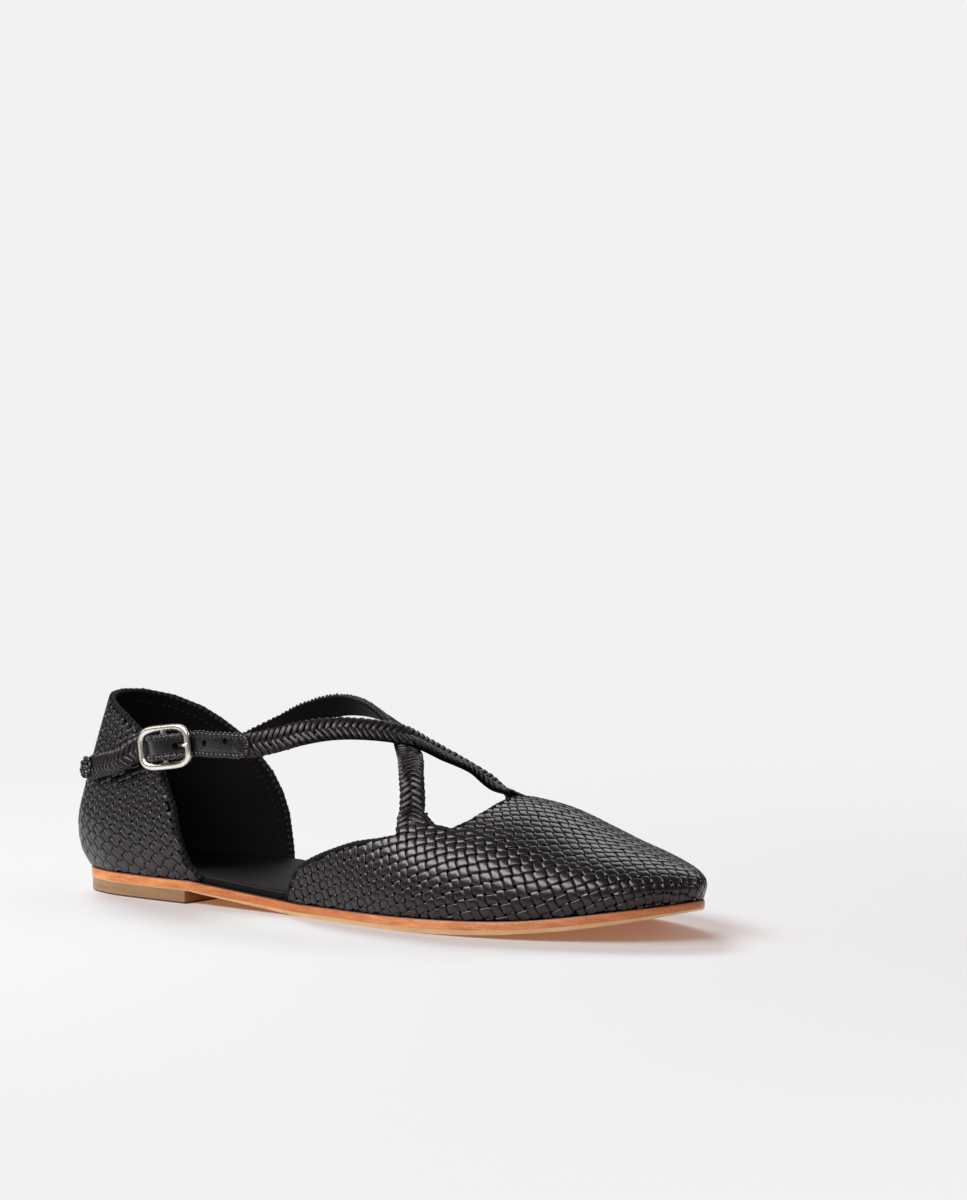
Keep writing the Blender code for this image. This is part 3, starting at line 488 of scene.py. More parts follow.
leathers = {name: makeLeather(name) for name in leatherLook}
print("leathers ready")

# Upper surfaces
upperShape = {
    "fitGap": 0.4, "wall": 2.0, "featherInset": 0.6, "wingEnd": 102.5, "throat": 173.0, "fanStart": 195.0,
    "spineEnd": 222.0, "spineSwing": 4.0, "margin": 4.0, "ribs": 210, "lifts": 64,
    "bellyScale": 1.5 * math.sqrt(3), "quarterFront": 66.0, "quarterTop": 70.0, "quarterRibs": 170,
    "quarterRows": 70, "quarterFootSteps": 120, "borderStep": 0.9, "borderPast": 3.2, "featherTuck": 1.7,
    # inward and downward places of the edge that folds under the foot
    "fold": ((0.25, 0.2), (0.9, 0.34), (2.0, 0.36), (3.2, 0.36)),
    # station, ridge height, roundness, bulge
    "vamp": (
        (100, 64, 2.2, 1.5), (130, 54, 2.1, 1.8), (150, 47.2, 2.05, 2), (170, 41.4, 2, 2),
        (185, 38.9, 2.05, 2), (198, 34.5, 2.1, 2), (210, 30.2, 2.2, 2.1), (222, 27, 2.4, 2.2),
        (232, 25, 2.5, 2.3), (241, 24.1, 2.6, 2.4), (250, 23.9, 2.6, 2.4),
    ),
    # station, share of the ridge height: wing, ear, throat
    "outerTopline": (
        (102.5, 0), (107.3, 0.176), (112, 0.241), (118.8, 0.307), (126.3, 0.375), (135.5, 0.46),
        (144.6, 0.53), (151.2, 0.592), (152.2, 0.72), (156.8, 0.79), (159.6, 0.765), (162.4, 0.745),
        (166, 0.752), (168.8, 0.752), (170.8, 0.80), (172.4, 0.838), (173.9, 0.92), (173.2, 1),
    ),
    "innerTopline": (
        (102.5, 0), (107.3, 0.176), (112, 0.241), (118.8, 0.307), (126.3, 0.382), (135.5, 0.482),
        (145.5, 0.59), (150.8, 0.68), (153.2, 0.80), (161.8, 0.885), (165, 0.83), (168.5, 0.845),
        (172, 0.905), (173.6, 0.96), (173.2, 1),
    ),
    # height, shift of the back, share of the sole's width
    "cup": (
        (8, -0.3, 1), (12.4, -3.8, 1.035), (21, -6.2, 1.05), (36, -3.2, 1), (47, 0.2, 0.945),
        (57, 3, 0.86), (67, 5.8, 0.76),
    ),
    # station and height of the quarter's top and front edge
    "outerQuarter": (
        (6.8, 66.5), (8.5, 66), (16, 63.8), (25, 60.6), (32, 57.2), (38, 53.6), (42.6, 49.2),
        (47, 43.5), (53.5, 32), (58, 19), (61.6, 12.6), (65.4, 9.4),
    ),
    "innerQuarter": (
        (6.8, 66.5), (8.5, 66), (16, 63.8), (25, 60.2), (32, 56.2), (38, 52.2), (42.6, 48),
        (46.6, 43.8), (51.3, 39), (55.2, 32.5), (57.6, 25.5), (58.8, 18), (60.6, 9.4),
    ),
}
ridgeAt, roundAt, bulgeAt = linesOf(upperShape["vamp"])
backAt, shareAt = linesOf(upperShape["cup"])
feel = 0.4  # half the distance over which a slope is felt


def spineAt(station):
    start = upperShape["fanStart"]
    reach = soleShape["length"] - start
    past = np.clip((station - start) / reach, 0, 1)
    bend = 1 - (upperShape["spineEnd"] - start) / reach
    return np.where(station < start, station, start + reach * (past - bend * past ** 2))


# ribs of the vamp rise from the sole edge to a spine along the top and fan round the toe
def vampPoint(side, length, lift):
    footX, footY, outX, outY = edgePoint(side, length, upperShape["featherInset"])
    station = np.interp(length, sides[side]["length"], sides[side]["x"])
    topX = spineAt(station)
    wing = upperShape["wingEnd"]
    topY = upperShape["spineSwing"] * (1 - (topX - wing) / (soleShape["length"] - wing))
    power = 2 / roundAt(station)
    inward = 1 - np.clip(np.cos(lift), 0, 1) ** power
    rise = np.clip(np.sin(lift), 0, 1) ** power
    belly = bulgeAt(station) * upperShape["bellyScale"] * np.sin(lift) * np.cos(lift) ** 2
    x = footX + (topX - footX) * inward + outX * belly
    y = footY + (topY - footY) * inward + outY * belly
    footZ = soleTop(station) + upperShape["fitGap"]
    return np.stack([x, y, footZ + (ridgeAt(x) - footZ) * rise], -1)


def vampFacing(side, length, lift):
    middle = np.clip(lift, 0.01, quarterTurn - 0.01)
    low, high = (np.clip(middle + step, 0, quarterTurn) for step in (-0.02, 0.02))
    limit = sides[side]["length"][-1]
    behind, ahead = (vampPoint(side, np.clip(length + step, 0, limit), middle) for step in (-feel, feel))
    up = vampPoint(side, length, high) - vampPoint(side, length, low)
    return unit(np.cross(ahead - behind, up) * -side)


# folded rows under the foot of a wall: places, facings and how far they run
def foldRows(foot, outward):
    turnOver = 0.6
    points = []
    facings = []
    for inward, down in upperShape["fold"]:
        spot = foot - outward * inward
        spot[:, 2] -= down
        turn = min(1.0, inward / turnOver)
        facing = outward * (1 - turn)
        facing[:, 2] -= 0.3 + 0.7 * turn
        points.append(spot)
        facings.append(unit(facing))
    runs = travelOf([(0.0, 0.0), *upperShape["fold"]])[1:]
    return points[::-1], facings[::-1], runs[::-1]


# one side of the vamp as ribs by lifts, with its flat pattern
def vampSide(side):
    line = sides[-1]
    first = float(lengthAt(-1, upperShape["wingEnd"])) - upperShape["margin"]
    evenly = np.linspace(first, line["length"][-1], upperShape["ribs"])
    stations = np.interp(evenly, line["length"], line["x"])
    lengths = lengthAt(side, stations)
    lengths[-1] = sides[side]["length"][-1]
    lifts = np.linspace(0, quarterTurn, upperShape["lifts"])
    grid = np.meshgrid(lengths, lifts, indexing="ij")
    body = vampPoint(side, *grid)
    steps = np.linalg.norm(np.diff(body, axis=1), axis=2)
    climbed = np.concatenate([np.zeros((len(lengths), 1)), np.cumsum(steps, axis=1)], axis=1)
    whole = climbed[:, -1]
    throat = upperShape["throat"]
    whole = np.where(stations < throat, np.interp(throat, stations, whole), whole)
    spine = body[:, -1, :2]
    away = unit(body[:, 0, :2] - spine)
    flat = spine[:, None, :] + away[:, None, :] * (whole[:, None] - climbed)[:, :, None]
    outward = np.stack(edgePoint(side, lengths, 0.0)[2:] + (0 * lengths,), 1)
    points, facings, runs = foldRows(body[:, 0], outward)
    folded = np.stack([flat[:, 0] + away * run for run in runs], 1)
    return {
        "lengths": lengths, "lifts": lifts, "flat": flat, "away": away,
        "points": np.concatenate([np.stack(points, 1), body], 1),
        "facing": np.concatenate([np.stack(facings, 1), vampFacing(side, *grid)], 1),
        "allFlat": np.concatenate([folded, flat], 1),
    }


vampSides = {-1: vampSide(-1), 1: vampSide(1)}


def flatOnVamp(side, length, lift):
    pattern = vampSides[side]
    rib = np.interp(length, pattern["lengths"], np.arange(len(pattern["lengths"])))
    low = min(int(rib), len(pattern["lengths"]) - 2)
    spots = []
    for index in (low, low + 1):
        spots.append([np.interp(lift, pattern["lifts"], pattern["flat"][index, :, axis]) for axis in (0, 1)])
    return np.array(spots[0]) * (1 - rib + low) + np.array(spots[1]) * (rib - low)


def walk(corners, step):
    corners = np.asarray(corners, float)
    travel = travelOf(corners[:, :2])
    places = [0.0]
    for start, finish in zip(travel, travel[1:]):
        count = max(1, int(round((finish - start) / step)))
        places.extend(start + (finish - start) * (index + 1) / count for index in range(count))
    return np.stack([np.interp(places, travel, line) for line in corners.T], 1)


def toplineLift(station, share):
    return math.asin(min(1.0, share) ** (float(roundAt(station)) / 2))


# topline of one side as rows of flat x, flat y, length and lift
def topline(side, rows):
    seats = []
    for station, share in rows:
        place = (float(lengthAt(side, station)), toplineLift(station, share))
        seats.append(np.append(flatOnVamp(side, *place), place))
    return walk(seats, upperShape["borderStep"])


# signed distance from a border: positive inside
def borderGap(spots, loop):
    after = np.roll(loop, -1, axis=0)
    span = after - loop
    square = np.maximum((span ** 2).sum(1), 1e-9)
    best = np.full(len(spots), 1e9)
    odd = np.zeros(len(spots), bool)
    for start, end, reach, size in zip(loop, after, span, square):
        share = np.clip(((spots - start) @ reach) / size, 0, 1)
        best = np.minimum(best, np.linalg.norm(start + reach * share[:, None] - spots, axis=1))
        crosses = (start[1] > spots[:, 1]) != (end[1] > spots[:, 1])
        rise = reach[1] if reach[1] else 1.0
        odd ^= crosses & (spots[:, 0] < start[0] + (spots[:, 1] - start[1]) * reach[0] / rise)
    return np.where(odd, best, -best)


# whole vamp: both sides share the spine and the toe rib
def vampSurface():
    folds = len(upperShape["fold"])
    rows = folds + upperShape["lifts"]
    ribs = upperShape["ribs"]

    def both(key):
        return np.concatenate([vampSides[side][key].reshape(ribs * rows, -1) for side in (-1, 1)])

    points = both("points")
    flat = both("allFlat")
    facing = both("facing")
    grids = {-1: np.arange(ribs * rows).reshape(ribs, rows)}
    grids[1] = grids[-1] + ribs * rows
    twins = list(zip(grids[-1][:, -1], grids[1][:, -1])) + list(zip(grids[-1][-1], grids[1][-1]))
    for one, other in twins:
        facing[one] = unit(facing[one] + facing[other])
    grids[1][:, -1] = grids[-1][:, -1]
    grids[1][-1] = grids[-1][-1]
    feet = {}
    for side, half in vampSides.items():
        foot = half["flat"][:, 0] + half["away"] * upperShape["featherTuck"]
        feet[side] = foot[half["lengths"] > float(lengthAt(side, upperShape["wingEnd"]))]
    gap = borderGap(flat, np.concatenate([
        feet[-1], feet[1][::-1], topline(1, upperShape["innerTopline"])[:, :2],
        topline(-1, upperShape["outerTopline"])[::-1][:, :2],
    ]))
    faces = []
    for side, grid in grids.items():
        for rib in range(ribs - 1):
            for row in range(rows - 1):
                corners = (grid[rib, row], grid[rib + 1, row], grid[rib + 1, row + 1], grid[rib, row + 1])
                if max(gap[list(corners)]) > -upperShape["borderPast"]:
                    corners = tuple(dict.fromkeys(int(corner) for corner in corners))
                    faces.append((corners if side == -1 else corners[::-1], row >= folds))
    return {"points": points, "flat": flat, "facing": facing, "gap": gap, "faces": faces}


# foot line of the quarter, from the outer side (below 0) round the heel to the inner side
def quarterBase(around):
    around = np.asarray(around, float)
    outer, inner = (edgePoint(side, np.abs(around), upperShape["featherInset"]) for side in (-1, 1))
    return [np.where(around < 0, outer[axis], inner[axis]) for axis in (0, 1)]


# Quarter: the heel outline carried up, flat pattern is distance round the heel by height
def quarterPoint(around, height):
    x, y = quarterBase(around)
    back = backAt(height) * (1 - x / upperShape["quarterFront"])
    return np.stack([x + back, y * shareAt(height), height + 0 * x], -1)


def quarterFacing(around, height):
    along = quarterPoint(around + feel, height) - quarterPoint(around - feel, height)
    up = quarterPoint(around, height + feel) - quarterPoint(around, height - feel)
    return unit(np.cross(up, along))


def quarterAround(side, station, height):
    back = float(backAt(height))
    foot = (station - back) / (1 - back / upperShape["quarterFront"])
    return side * float(lengthAt(side, max(foot - upperShape["featherInset"], 0.0)))


def quarterFoot(around):
    return soleTop(quarterBase(around)[0]) + upperShape["fitGap"]


# top and front edge from the inner side over the back to the outer side
def quarterEdgeRows():
    rows = [(quarterAround(1, x, z), z) for x, z in reversed(upperShape["innerQuarter"][1:])]
    rows.append((0.0, upperShape["outerQuarter"][0][1]))
    rows.extend((quarterAround(-1, x, z), z) for x, z in upperShape["outerQuarter"][1:])
    return walk(rows, upperShape["borderStep"])


def quarterSurface():
    edge = quarterEdgeRows()
    margin = upperShape["margin"]
    arounds = np.linspace(edge[:, 0].min() - margin, edge[:, 0].max() + margin, upperShape["quarterRibs"])
    foot = quarterFoot(arounds)
    shares = np.linspace(0, 1, upperShape["quarterRows"])
    heights = foot[:, None] + (upperShape["quarterTop"] - foot[:, None]) * shares
    turns = np.repeat(arounds[:, None], len(shares), 1)
    body = quarterPoint(turns, heights)
    facing = quarterFacing(turns, heights)
    flat = np.stack([turns, heights], -1)
    outward = unit(facing[:, 0] * np.array([1.0, 1.0, 0.0]))
    points, facings, runs = foldRows(body[:, 0], outward)
    folded = np.stack([flat[:, 0] - np.array([0.0, run]) for run in runs], 1)
    body = np.concatenate([np.stack(points, 1), body], 1)
    facing = np.concatenate([np.stack(facings, 1), facing], 1)
    flat = np.concatenate([folded, flat], 1)
    low = np.linspace(edge[-1, 0], edge[0, 0], upperShape["quarterFootSteps"])
    base = np.stack([low, quarterFoot(low) - upperShape["featherTuck"]], 1)
    gap = borderGap(flat.reshape(-1, 2), np.concatenate([base, edge]))
    count = body.shape[1]
    faces = []
    for rib in range(len(arounds) - 1):
        for row in range(count - 1):
            first = rib * count + row
            corners = (first, first + count, first + count + 1, first + 1)
            if max(gap[list(corners)]) > -upperShape["borderPast"]:
                faces.append((corners, row >= len(upperShape["fold"])))
    return {"points": body.reshape(-1, 3), "flat": flat.reshape(-1, 2), "facing": facing.reshape(-1, 3),
            "gap": gap, "faces": faces}


# strips follow a guide line in the flat: heading in degrees at distances along it
weaveGuide = {"start": (55.0, -77.0), "heading": ((0, 22), (110, 22), (165, 50), (260, 50))}
# degrees by height: lean of the upright strips and rise of the level ones towards the outer side
quarterSlant = {"lean": ((5, 44), (14, 42), (30, 26), (46, 16), (72, 14)),
                "rise": ((5, 37), (14, 36), (30, 29), (46, 23), (72, 22)),
                "top": 75.0, "step": 0.5, "trueHeight": 30.0}  # strips keep their pitch at the true height


# place of each spot along and across the guide line
def latticeOf(flat, guide):
    distance, heading = np.array(guide["heading"], float).T
    steps = np.arange(0.0, distance[-1], 1.0)
    turn = np.radians(through(distance, heading)(steps))
    line = np.cumsum(np.stack([np.cos(turn), np.sin(turn)], 1), axis=0) + np.array(guide["start"])
    best = np.full(len(flat), 1e9)
    along = np.zeros(len(flat))
    across = np.zeros(len(flat))
    for index in range(len(line) - 1):
        start = line[index]
        reach = line[index + 1] - start
        low = -1e3 if index == 0 else 0.0
        high = 1e3 if index == len(line) - 2 else 1.0
        share = np.clip((flat - start) @ reach, low, high)
        away = flat - start - reach * share[:, None]
        gap = np.linalg.norm(away, axis=1)
        near = gap < best
        best = np.where(near, gap, best)
        along = np.where(near, index + share, along)
        across = np.where(near, np.sign(reach[0] * away[:, 1] - reach[1] * away[:, 0]) * gap, across)
    return np.stack([along, across], 1)


def quarterLattice(flat):
    step = quarterSlant["step"]
    heights = np.arange(0.0, quarterSlant["top"], step)
    lean, rise = (np.radians(linesOf(quarterSlant[key])[0](heights)) for key in ("lean", "rise"))
    true = int(quarterSlant["trueHeight"] / step)
    along = flat[:, 0] - np.interp(flat[:, 1], heights, np.cumsum(np.tan(lean)) * step)
    across = flat[:, 0] + np.interp(flat[:, 1], heights, np.cumsum(1 / np.tan(rise)) * step)
    return np.stack([along * math.cos(lean[true]), across * math.sin(rise[true])], 1)


flatScale = 4.0  # flat patterns are stored as metres times this, so that they span about 0 to 1


# hidden base that carries the flat pattern for the trees
def patternBase(name, points, flat, facing, gap, faces):
    mesh = newMesh(name, points, [], faces)
    pattern = np.zeros((len(points), 3))
    pattern[:, :2] = np.asarray(flat) * mm * flatScale
    addPointValues(mesh, "flatMap", "FLOAT_VECTOR", pattern)
    addPointValues(mesh, "facing", "FLOAT_VECTOR", facing)
    addPointValues(mesh, "edgeGap", "FLOAT", np.asarray(gap) * mm)
    return newObject(name, mesh)


# Trees
def sampleBase(surface, spot, value, kind="FLOAT_VECTOR"):
    tree = surface.tree
    node = addNode(tree, "GeometryNodeSampleUVSurface", {
        "Mesh": surface, "Value": value, "UV Map": named(tree, "flatMap", "FLOAT_VECTOR"), "Sample UV": spot,
    }, data_type=kind)
    return Flow(tree, node.outputs["Value"]), Flow(tree, node.outputs["Is Valid"])


def flatSpot(tree):
    x, y, z = positionOf(tree).parts()
    return combine(tree, x, y) * flatScale, z


# lays what is drawn in the flat onto the base: x and y follow the pattern, z stands off it
def makeOnSurface():
    tree, given = startTree("onSurface", geometry=("Flat", "Surface"), float=("Lift",))
    spot, height = flatSpot(tree)
    place, _ = sampleBase(given["Surface"], spot, positionOf(tree))
    facing, _ = sampleBase(given["Surface"], spot, named(tree, "facing", "FLOAT_VECTOR"))
    raised = place + facing.reckon("NORMALIZE") * (height + given["Lift"])
    return endTree(tree, movedTo(given["Flat"], Position=raised))


onSurface = makeOnSurface()
sectionShape = {"sides": 8, "squareness": 0.35, "flatness": 0.6}


def circleOf(tree, sides, radius):
    return flow(tree, "GeometryNodeCurvePrimitiveCircle", {"Resolution": sides, "Radius": radius})


# flat strip section with rounded edges
def stripSection(tree, width, thickness):
    sides = sectionShape["sides"]
    turned = {"Geometry": circleOf(tree, sides, 1.0), "Rotation": (0.0, 0.0, math.pi / sides)}
    circle = flow(tree, "GeometryNodeTransform", turned)
    x, y, _ = positionOf(tree).parts()
    square = sectionShape["squareness"]
    wide, high = (axis.reckon("ABSOLUTE").reckon("POWER", square) * axis.reckon("SIGN") for axis in (x, y))
    high = high.reckon("MINIMUM", sectionShape["flatness"])
    return movedTo(circle, Position=combine(tree, wide * (width * 0.5), high * (thickness * 0.5)))


def carryAlong(curve, section):
    inputs = {"Curve": curve, "Profile Curve": section, "Fill Caps": True}
    return flow(curve.tree, "GeometryNodeCurveToMesh", inputs)


# one step of the weave from the middle of an over cell to the middle of an under cell
weaveStep = {"move": (0.0, 0.3, 0.49, 0.61, 0.78, 1.0), "rise": (1.0, 0.985, 0.87, 0.19, 0.02, 0.0)}


def stepCurve(value, key):
    node = addNode(value.tree, "ShaderNodeFloatCurve", {"Value": value})
    points = node.mapping.curves[0].points
    levels = weaveStep[key]
    points[0].location = (0.0, levels[0])
    points[1].location = (1.0, levels[-1])
    for index, level in enumerate(levels[1:-1]):
        points.new((index + 1) / (len(levels) - 1), level)
    for point in points:
        point.handle_type = "VECTOR"
    node.mapping.update()
    return Flow(value.tree, node.outputs[0])


def dotLine(tree, count, start, step):
    inputs = {"Count": count, "Start Location": start, "Offset": step}
    return flow(tree, "GeometryNodeMeshLine", inputs, mode="OFFSET")


# a row of lines: one line set on each dot of another
def lineRow(across, along):
    lines = flow(across.tree, "GeometryNodeInstanceOnPoints", {"Points": across, "Instance": along})
    return flow(across.tree, "GeometryNodeRealizeInstances", {"Geometry": lines})


def randomCell(tree, x, y, z):
    inputs = {"Vector": combine(tree, x, y, z)}
    noise = addNode(tree, "ShaderNodeTexWhiteNoise", inputs, noise_dimensions="3D").outputs
    return Flow(tree, noise["Value"]), Flow(tree, noise["Color"])


# parallel strips in the flat that wave over and under
def makeStripSet():
    tree, given = startTree("stripSet", int=("Count Along", "Count Across", "Steps"),
                            float=("Pitch", "Wave", "Tilt", "Beat", "Seed"))
    pitch = given["Pitch"]
    half = given["Count Across"] * 0.5 * pitch - pitch * 0.5
    start = given["Count Along"] * pitch * -0.5
    across = dotLine(tree, given["Count Across"], combine(tree, 0.0, half * -1.0), combine(tree, 0.0, pitch))
    along = dotLine(tree, given["Count Along"] * given["Steps"] + 1.0, combine(tree, start),
                    combine(tree, pitch / given["Steps"]))
    lines = lineRow(across, along)
    x, y, _ = positionOf(tree).parts()
    run = x / pitch
    strip = (y / pitch).reckon("ROUND")
    beat = run + strip + given["Beat"]
    middle = (beat * 0.5).reckon("ROUND") * 2.0
    past = beat - middle
    reach = past.reckon("ABSOLUTE")
    moved = stepCurve(reach, "move") * past.reckon("SIGN")
    rise = stepCurve(reach, "rise") * 2.0 - 1.0
    tone, colour = randomCell(tree, middle, strip, given["Seed"])
    lean = (colour.parts()[0] - 0.5) * given["Tilt"]
    lift = rise * given["Wave"] + lean * past * pitch
    lines = storeValue(lines, "cellTone", tone)
    spot = combine(tree, (run + (moved - past)) * pitch, y, lift)
    return endTree(tree, movedTo(lines, Position=spot))


stripSet = makeStripSet()


def useTree(tree, group, inputs):
    return flow(tree, "GeometryNodeGroup", inputs, node_tree=group)


# lines in the flat become domed strips on the base
def stripsOnBase(lines, given):
    tree = lines.tree
    curves = flow(tree, "GeometryNodeMeshToCurve", {"Mesh": lines})
    curves = flow(tree, "GeometryNodeSetCurveNormal", {"Curve": curves}, mode="Z_UP")
    strips = carryAlong(curves, stripSection(tree, given["Strip Width"], given["Strip Thickness"]))
    strips = useTree(tree, onSurface, {"Flat": strips, "Surface": given["Geometry"], "Lift": given["Lift"]})
    return dress(tree, strips, given["Material"])


noiseMiddle = (0.5, 0.5, 0.5)
handScale = {"weave": 110.0, "plait": 260.0}  # how quickly hand-laid strips wander


def makeWeaveStrips():
    tree, given = startTree(
        "weaveStrips", geometry=("Geometry",), int=("Count Along", "Count Across", "Steps"),
        float=("Pitch", "Wave", "Tilt", "Strip Width", "Strip Thickness", "Lift", "Room", "Wander", "Seed"),
        material=("Material",))
    labels = ("Count Along", "Count Across", "Pitch", "Steps", "Wave", "Tilt")
    shared = {label: given[label] for label in labels}
    rows = useTree(tree, stripSet, {**shared, "Beat": 0.0, "Seed": given["Seed"]})
    columns = useTree(tree, stripSet, {**shared, "Beat": 1.0, "Seed": given["Seed"] + 7.3})
    turned = {"Geometry": columns, "Rotation": (0.0, 0.0, quarterTurn)}
    columns = flow(tree, "GeometryNodeTransform", turned)
    inputs = {"Vector": positionOf(tree), "W": given["Seed"], "Scale": handScale["weave"], "Detail": 1.0}
    hand = flow(tree, "ShaderNodeTexNoise", inputs, "Color", noise_dimensions="4D")
    stray = (hand - noiseMiddle) * given["Wander"] * (1.0, 1.0, 0.0)
    moved = movedTo(joined(tree, rows, columns), Offset=stray)
    spot, _ = flatSpot(tree)
    gap, found = sampleBase(given["Geometry"], spot, named(tree, "edgeGap"), "FLOAT")
    near = flow(tree, "FunctionNodeCompare", {"A": gap, "B": given["Room"]},
                data_type="FLOAT", operation="LESS_THAN")
    missing = flow(tree, "FunctionNodeBooleanMath", {0: found}, operation="NOT")
    drop = flow(tree, "FunctionNodeBooleanMath", {0: near, 1: missing}, operation="OR")
    kept = flow(tree, "GeometryNodeDeleteGeometry", {"Geometry": moved, "Selection": drop},
                domain="POINT", mode="ALL")
    return stripsOnBase(kept, given)


weaveStrips = makeWeaveStrips()
plaitShape = {"zigzag": 0.42, "swing": 0.58, "steep": 1.5, "edgeRoom": 0.48, "stray": (1.0, 0.45, 0.4)}


# strands that cross from edge to edge: on top towards the middle, below away from it
def makePlaitStrands():
    tree, given = startTree(
        "plaitStrands", geometry=("Geometry",), int=("Strands", "Steps"),
        float=("Start", "Length", "Period", "Half Width", "Strip Width", "Strip Thickness", "Wave", "Lift",
               "Stray", "Seed"), material=("Material",))
    step = given["Length"] / (given["Steps"] - 1.0)
    across = dotLine(tree, given["Strands"], (0.0, 0.0, 0.0), (0.0, 1.0, 0.0))
    along = dotLine(tree, given["Steps"], combine(tree, given["Start"]), combine(tree, step))
    lines = lineRow(across, along)
    x, y, _ = positionOf(tree).parts()
    strand = y.reckon("ROUND")
    turn = x / given["Period"] + strand / given["Strands"]
    zigzag = 1.0 - (turn.reckon("FRACT") - 0.5).reckon("ABSOLUTE") * 4.0
    swing = (turn * fullTurn).reckon("COSINE") * -1.0
    path = zigzag * plaitShape["zigzag"] + swing * plaitShape["swing"]
    beat = ((turn * (2 * fullTurn)).reckon("SINE") * plaitShape["steep"]).clamp(-1.0, 1.0)
    reach = given["Half Width"] - given["Strip Width"] * plaitShape["edgeRoom"]
    spot = combine(tree, x, path * reach, beat * given["Wave"])
    about = combine(tree, x, strand * 0.1, given["Seed"])
    stray = (about.noise(handScale["plait"], 1.0, "Color") - noiseMiddle) * given["Stray"]
    spot = spot + stray * plaitShape["stray"]
    tone, _ = randomCell(tree, (turn * 2.0).reckon("FLOOR"), strand, given["Seed"])
    return stripsOnBase(movedTo(storeValue(lines, "cellTone", tone), Position=spot), given)


plaitStrands = makePlaitStrands()


def resampled(line, length):
    return flow(line.tree, "GeometryNodeResampleCurve", {"Curve": line, "Length": length}, mode="LENGTH")


def faced(curve, normal):
    return flow(curve.tree, "GeometryNodeSetCurveNormal", {"Curve": curve, "Normal": normal}, mode="FREE")


# circle of a radius, stretched to an oval
def ovalOf(tree, sides, radius, wide, high):
    x, y, _ = positionOf(tree).parts()
    return movedTo(circleOf(tree, sides, radius), Position=combine(tree, x * wide, y * high))


# lace wound round an edge line over a rolled core
def makeWhippedEdge():
    tree, given = startTree(
        "whippedEdge", geometry=("Geometry",), int=("Steps",),
        float=("Spacing", "Depth", "Height", "Lace Width", "Lace Thickness"), material=("Material",))
    line = flow(tree, "GeometryNodeMeshToCurve", {"Mesh": given["Geometry"]})
    fine = resampled(line, given["Spacing"] / given["Steps"])
    travel = flow(tree, "GeometryNodeSplineParameter", None, "Length")
    turn = travel / given["Spacing"] * fullTurn
    tangent = flow(tree, "GeometryNodeInputTangent")
    facing = named(tree, "facing", "FLOAT_VECTOR")
    outward = facing.reckon("NORMALIZE")
    beside = tangent.reckon("CROSS_PRODUCT", outward).reckon("NORMALIZE")
    away = (outward * (turn.reckon("COSINE") * given["Depth"])
            + beside * (turn.reckon("SINE") * given["Height"]))
    wound = movedTo(storeValue(fine, "awayFromCore", away, "FLOAT_VECTOR"), Offset=away)
    wound = faced(wound, named(tree, "awayFromCore", "FLOAT_VECTOR").reckon("NORMALIZE"))
    lace = carryAlong(wound, ovalOf(tree, 6, 0.5, given["Lace Thickness"], given["Lace Width"]))
    core = carryAlong(faced(resampled(line, given["Spacing"]), facing),
                      ovalOf(tree, 8, 1.0, given["Depth"], given["Height"]))
    return dress(tree, joined(tree, lace, core), given["Material"])


whippedEdge = makeWhippedEdge()


# short threads laid end to end along a line
def makeStitchRow():
    tree, given = startTree("stitchRow", geometry=("Geometry",), float=("Spacing", "Length", "Thickness"),
                            material=("Material",))
    spots = resampled(flow(tree, "GeometryNodeMeshToCurve", {"Mesh": given["Geometry"]}), given["Spacing"])
    tangent = flow(tree, "GeometryNodeInputTangent")
    thread = {"Segments": 8, "Rings": 5, "Radius": 0.5}
    stitches = flow(tree, "GeometryNodeInstanceOnPoints", {
        "Points": spots, "Instance": flow(tree, "GeometryNodeMeshUVSphere", thread, "Mesh"),
        "Rotation": flow(tree, "FunctionNodeAlignRotationToVector", {"Vector": tangent}, axis="X"),
        "Scale": combine(tree, given["Length"], given["Thickness"], given["Thickness"]),
    })
    return dress(tree, stitches, given["Material"])


stitchRow = makeStitchRow()
print("trees ready")


# lines that carry a facing, for lace and stitches
def edgeLines(name, lines):
    points = []
    facings = []
    edges = []
    for spots, facing in lines:
        start = len(points)
        points.extend(spots)
        facings.extend(facing)
        edges.extend((start + index, start + index + 1) for index in range(len(spots) - 1))
    mesh = newMesh(name, points, edges, [])
    addPointValues(mesh, "facing", "FLOAT_VECTOR", facings)
    return newObject(name, mesh)


def inMetres(look, labels):
    return {label: look[key] * mm for label, key in labels.items()}


def growLine(name, lines, tree, look, labels, **values):
    base = edgeLines(name + "_line", lines)
    sizes = inMetres(look, labels)
    return growPiece(name, base, tree, {**sizes, **values, "Material": leathers[look["leather"]]})


def growLace(name, lines, look):
    labels = {"Spacing": "spacing", "Depth": "depth", "Height": "height", "Lace Width": "lace",
              "Lace Thickness": "thick"}
    return growLine(name, lines, whippedEdge, look, labels, Steps=look["steps"])


def growStitches(name, lines, look):
    labels = {"Spacing": "spacing", "Length": "length", "Thickness": "thick"}
    return growLine(name, lines, stitchRow, look, labels)


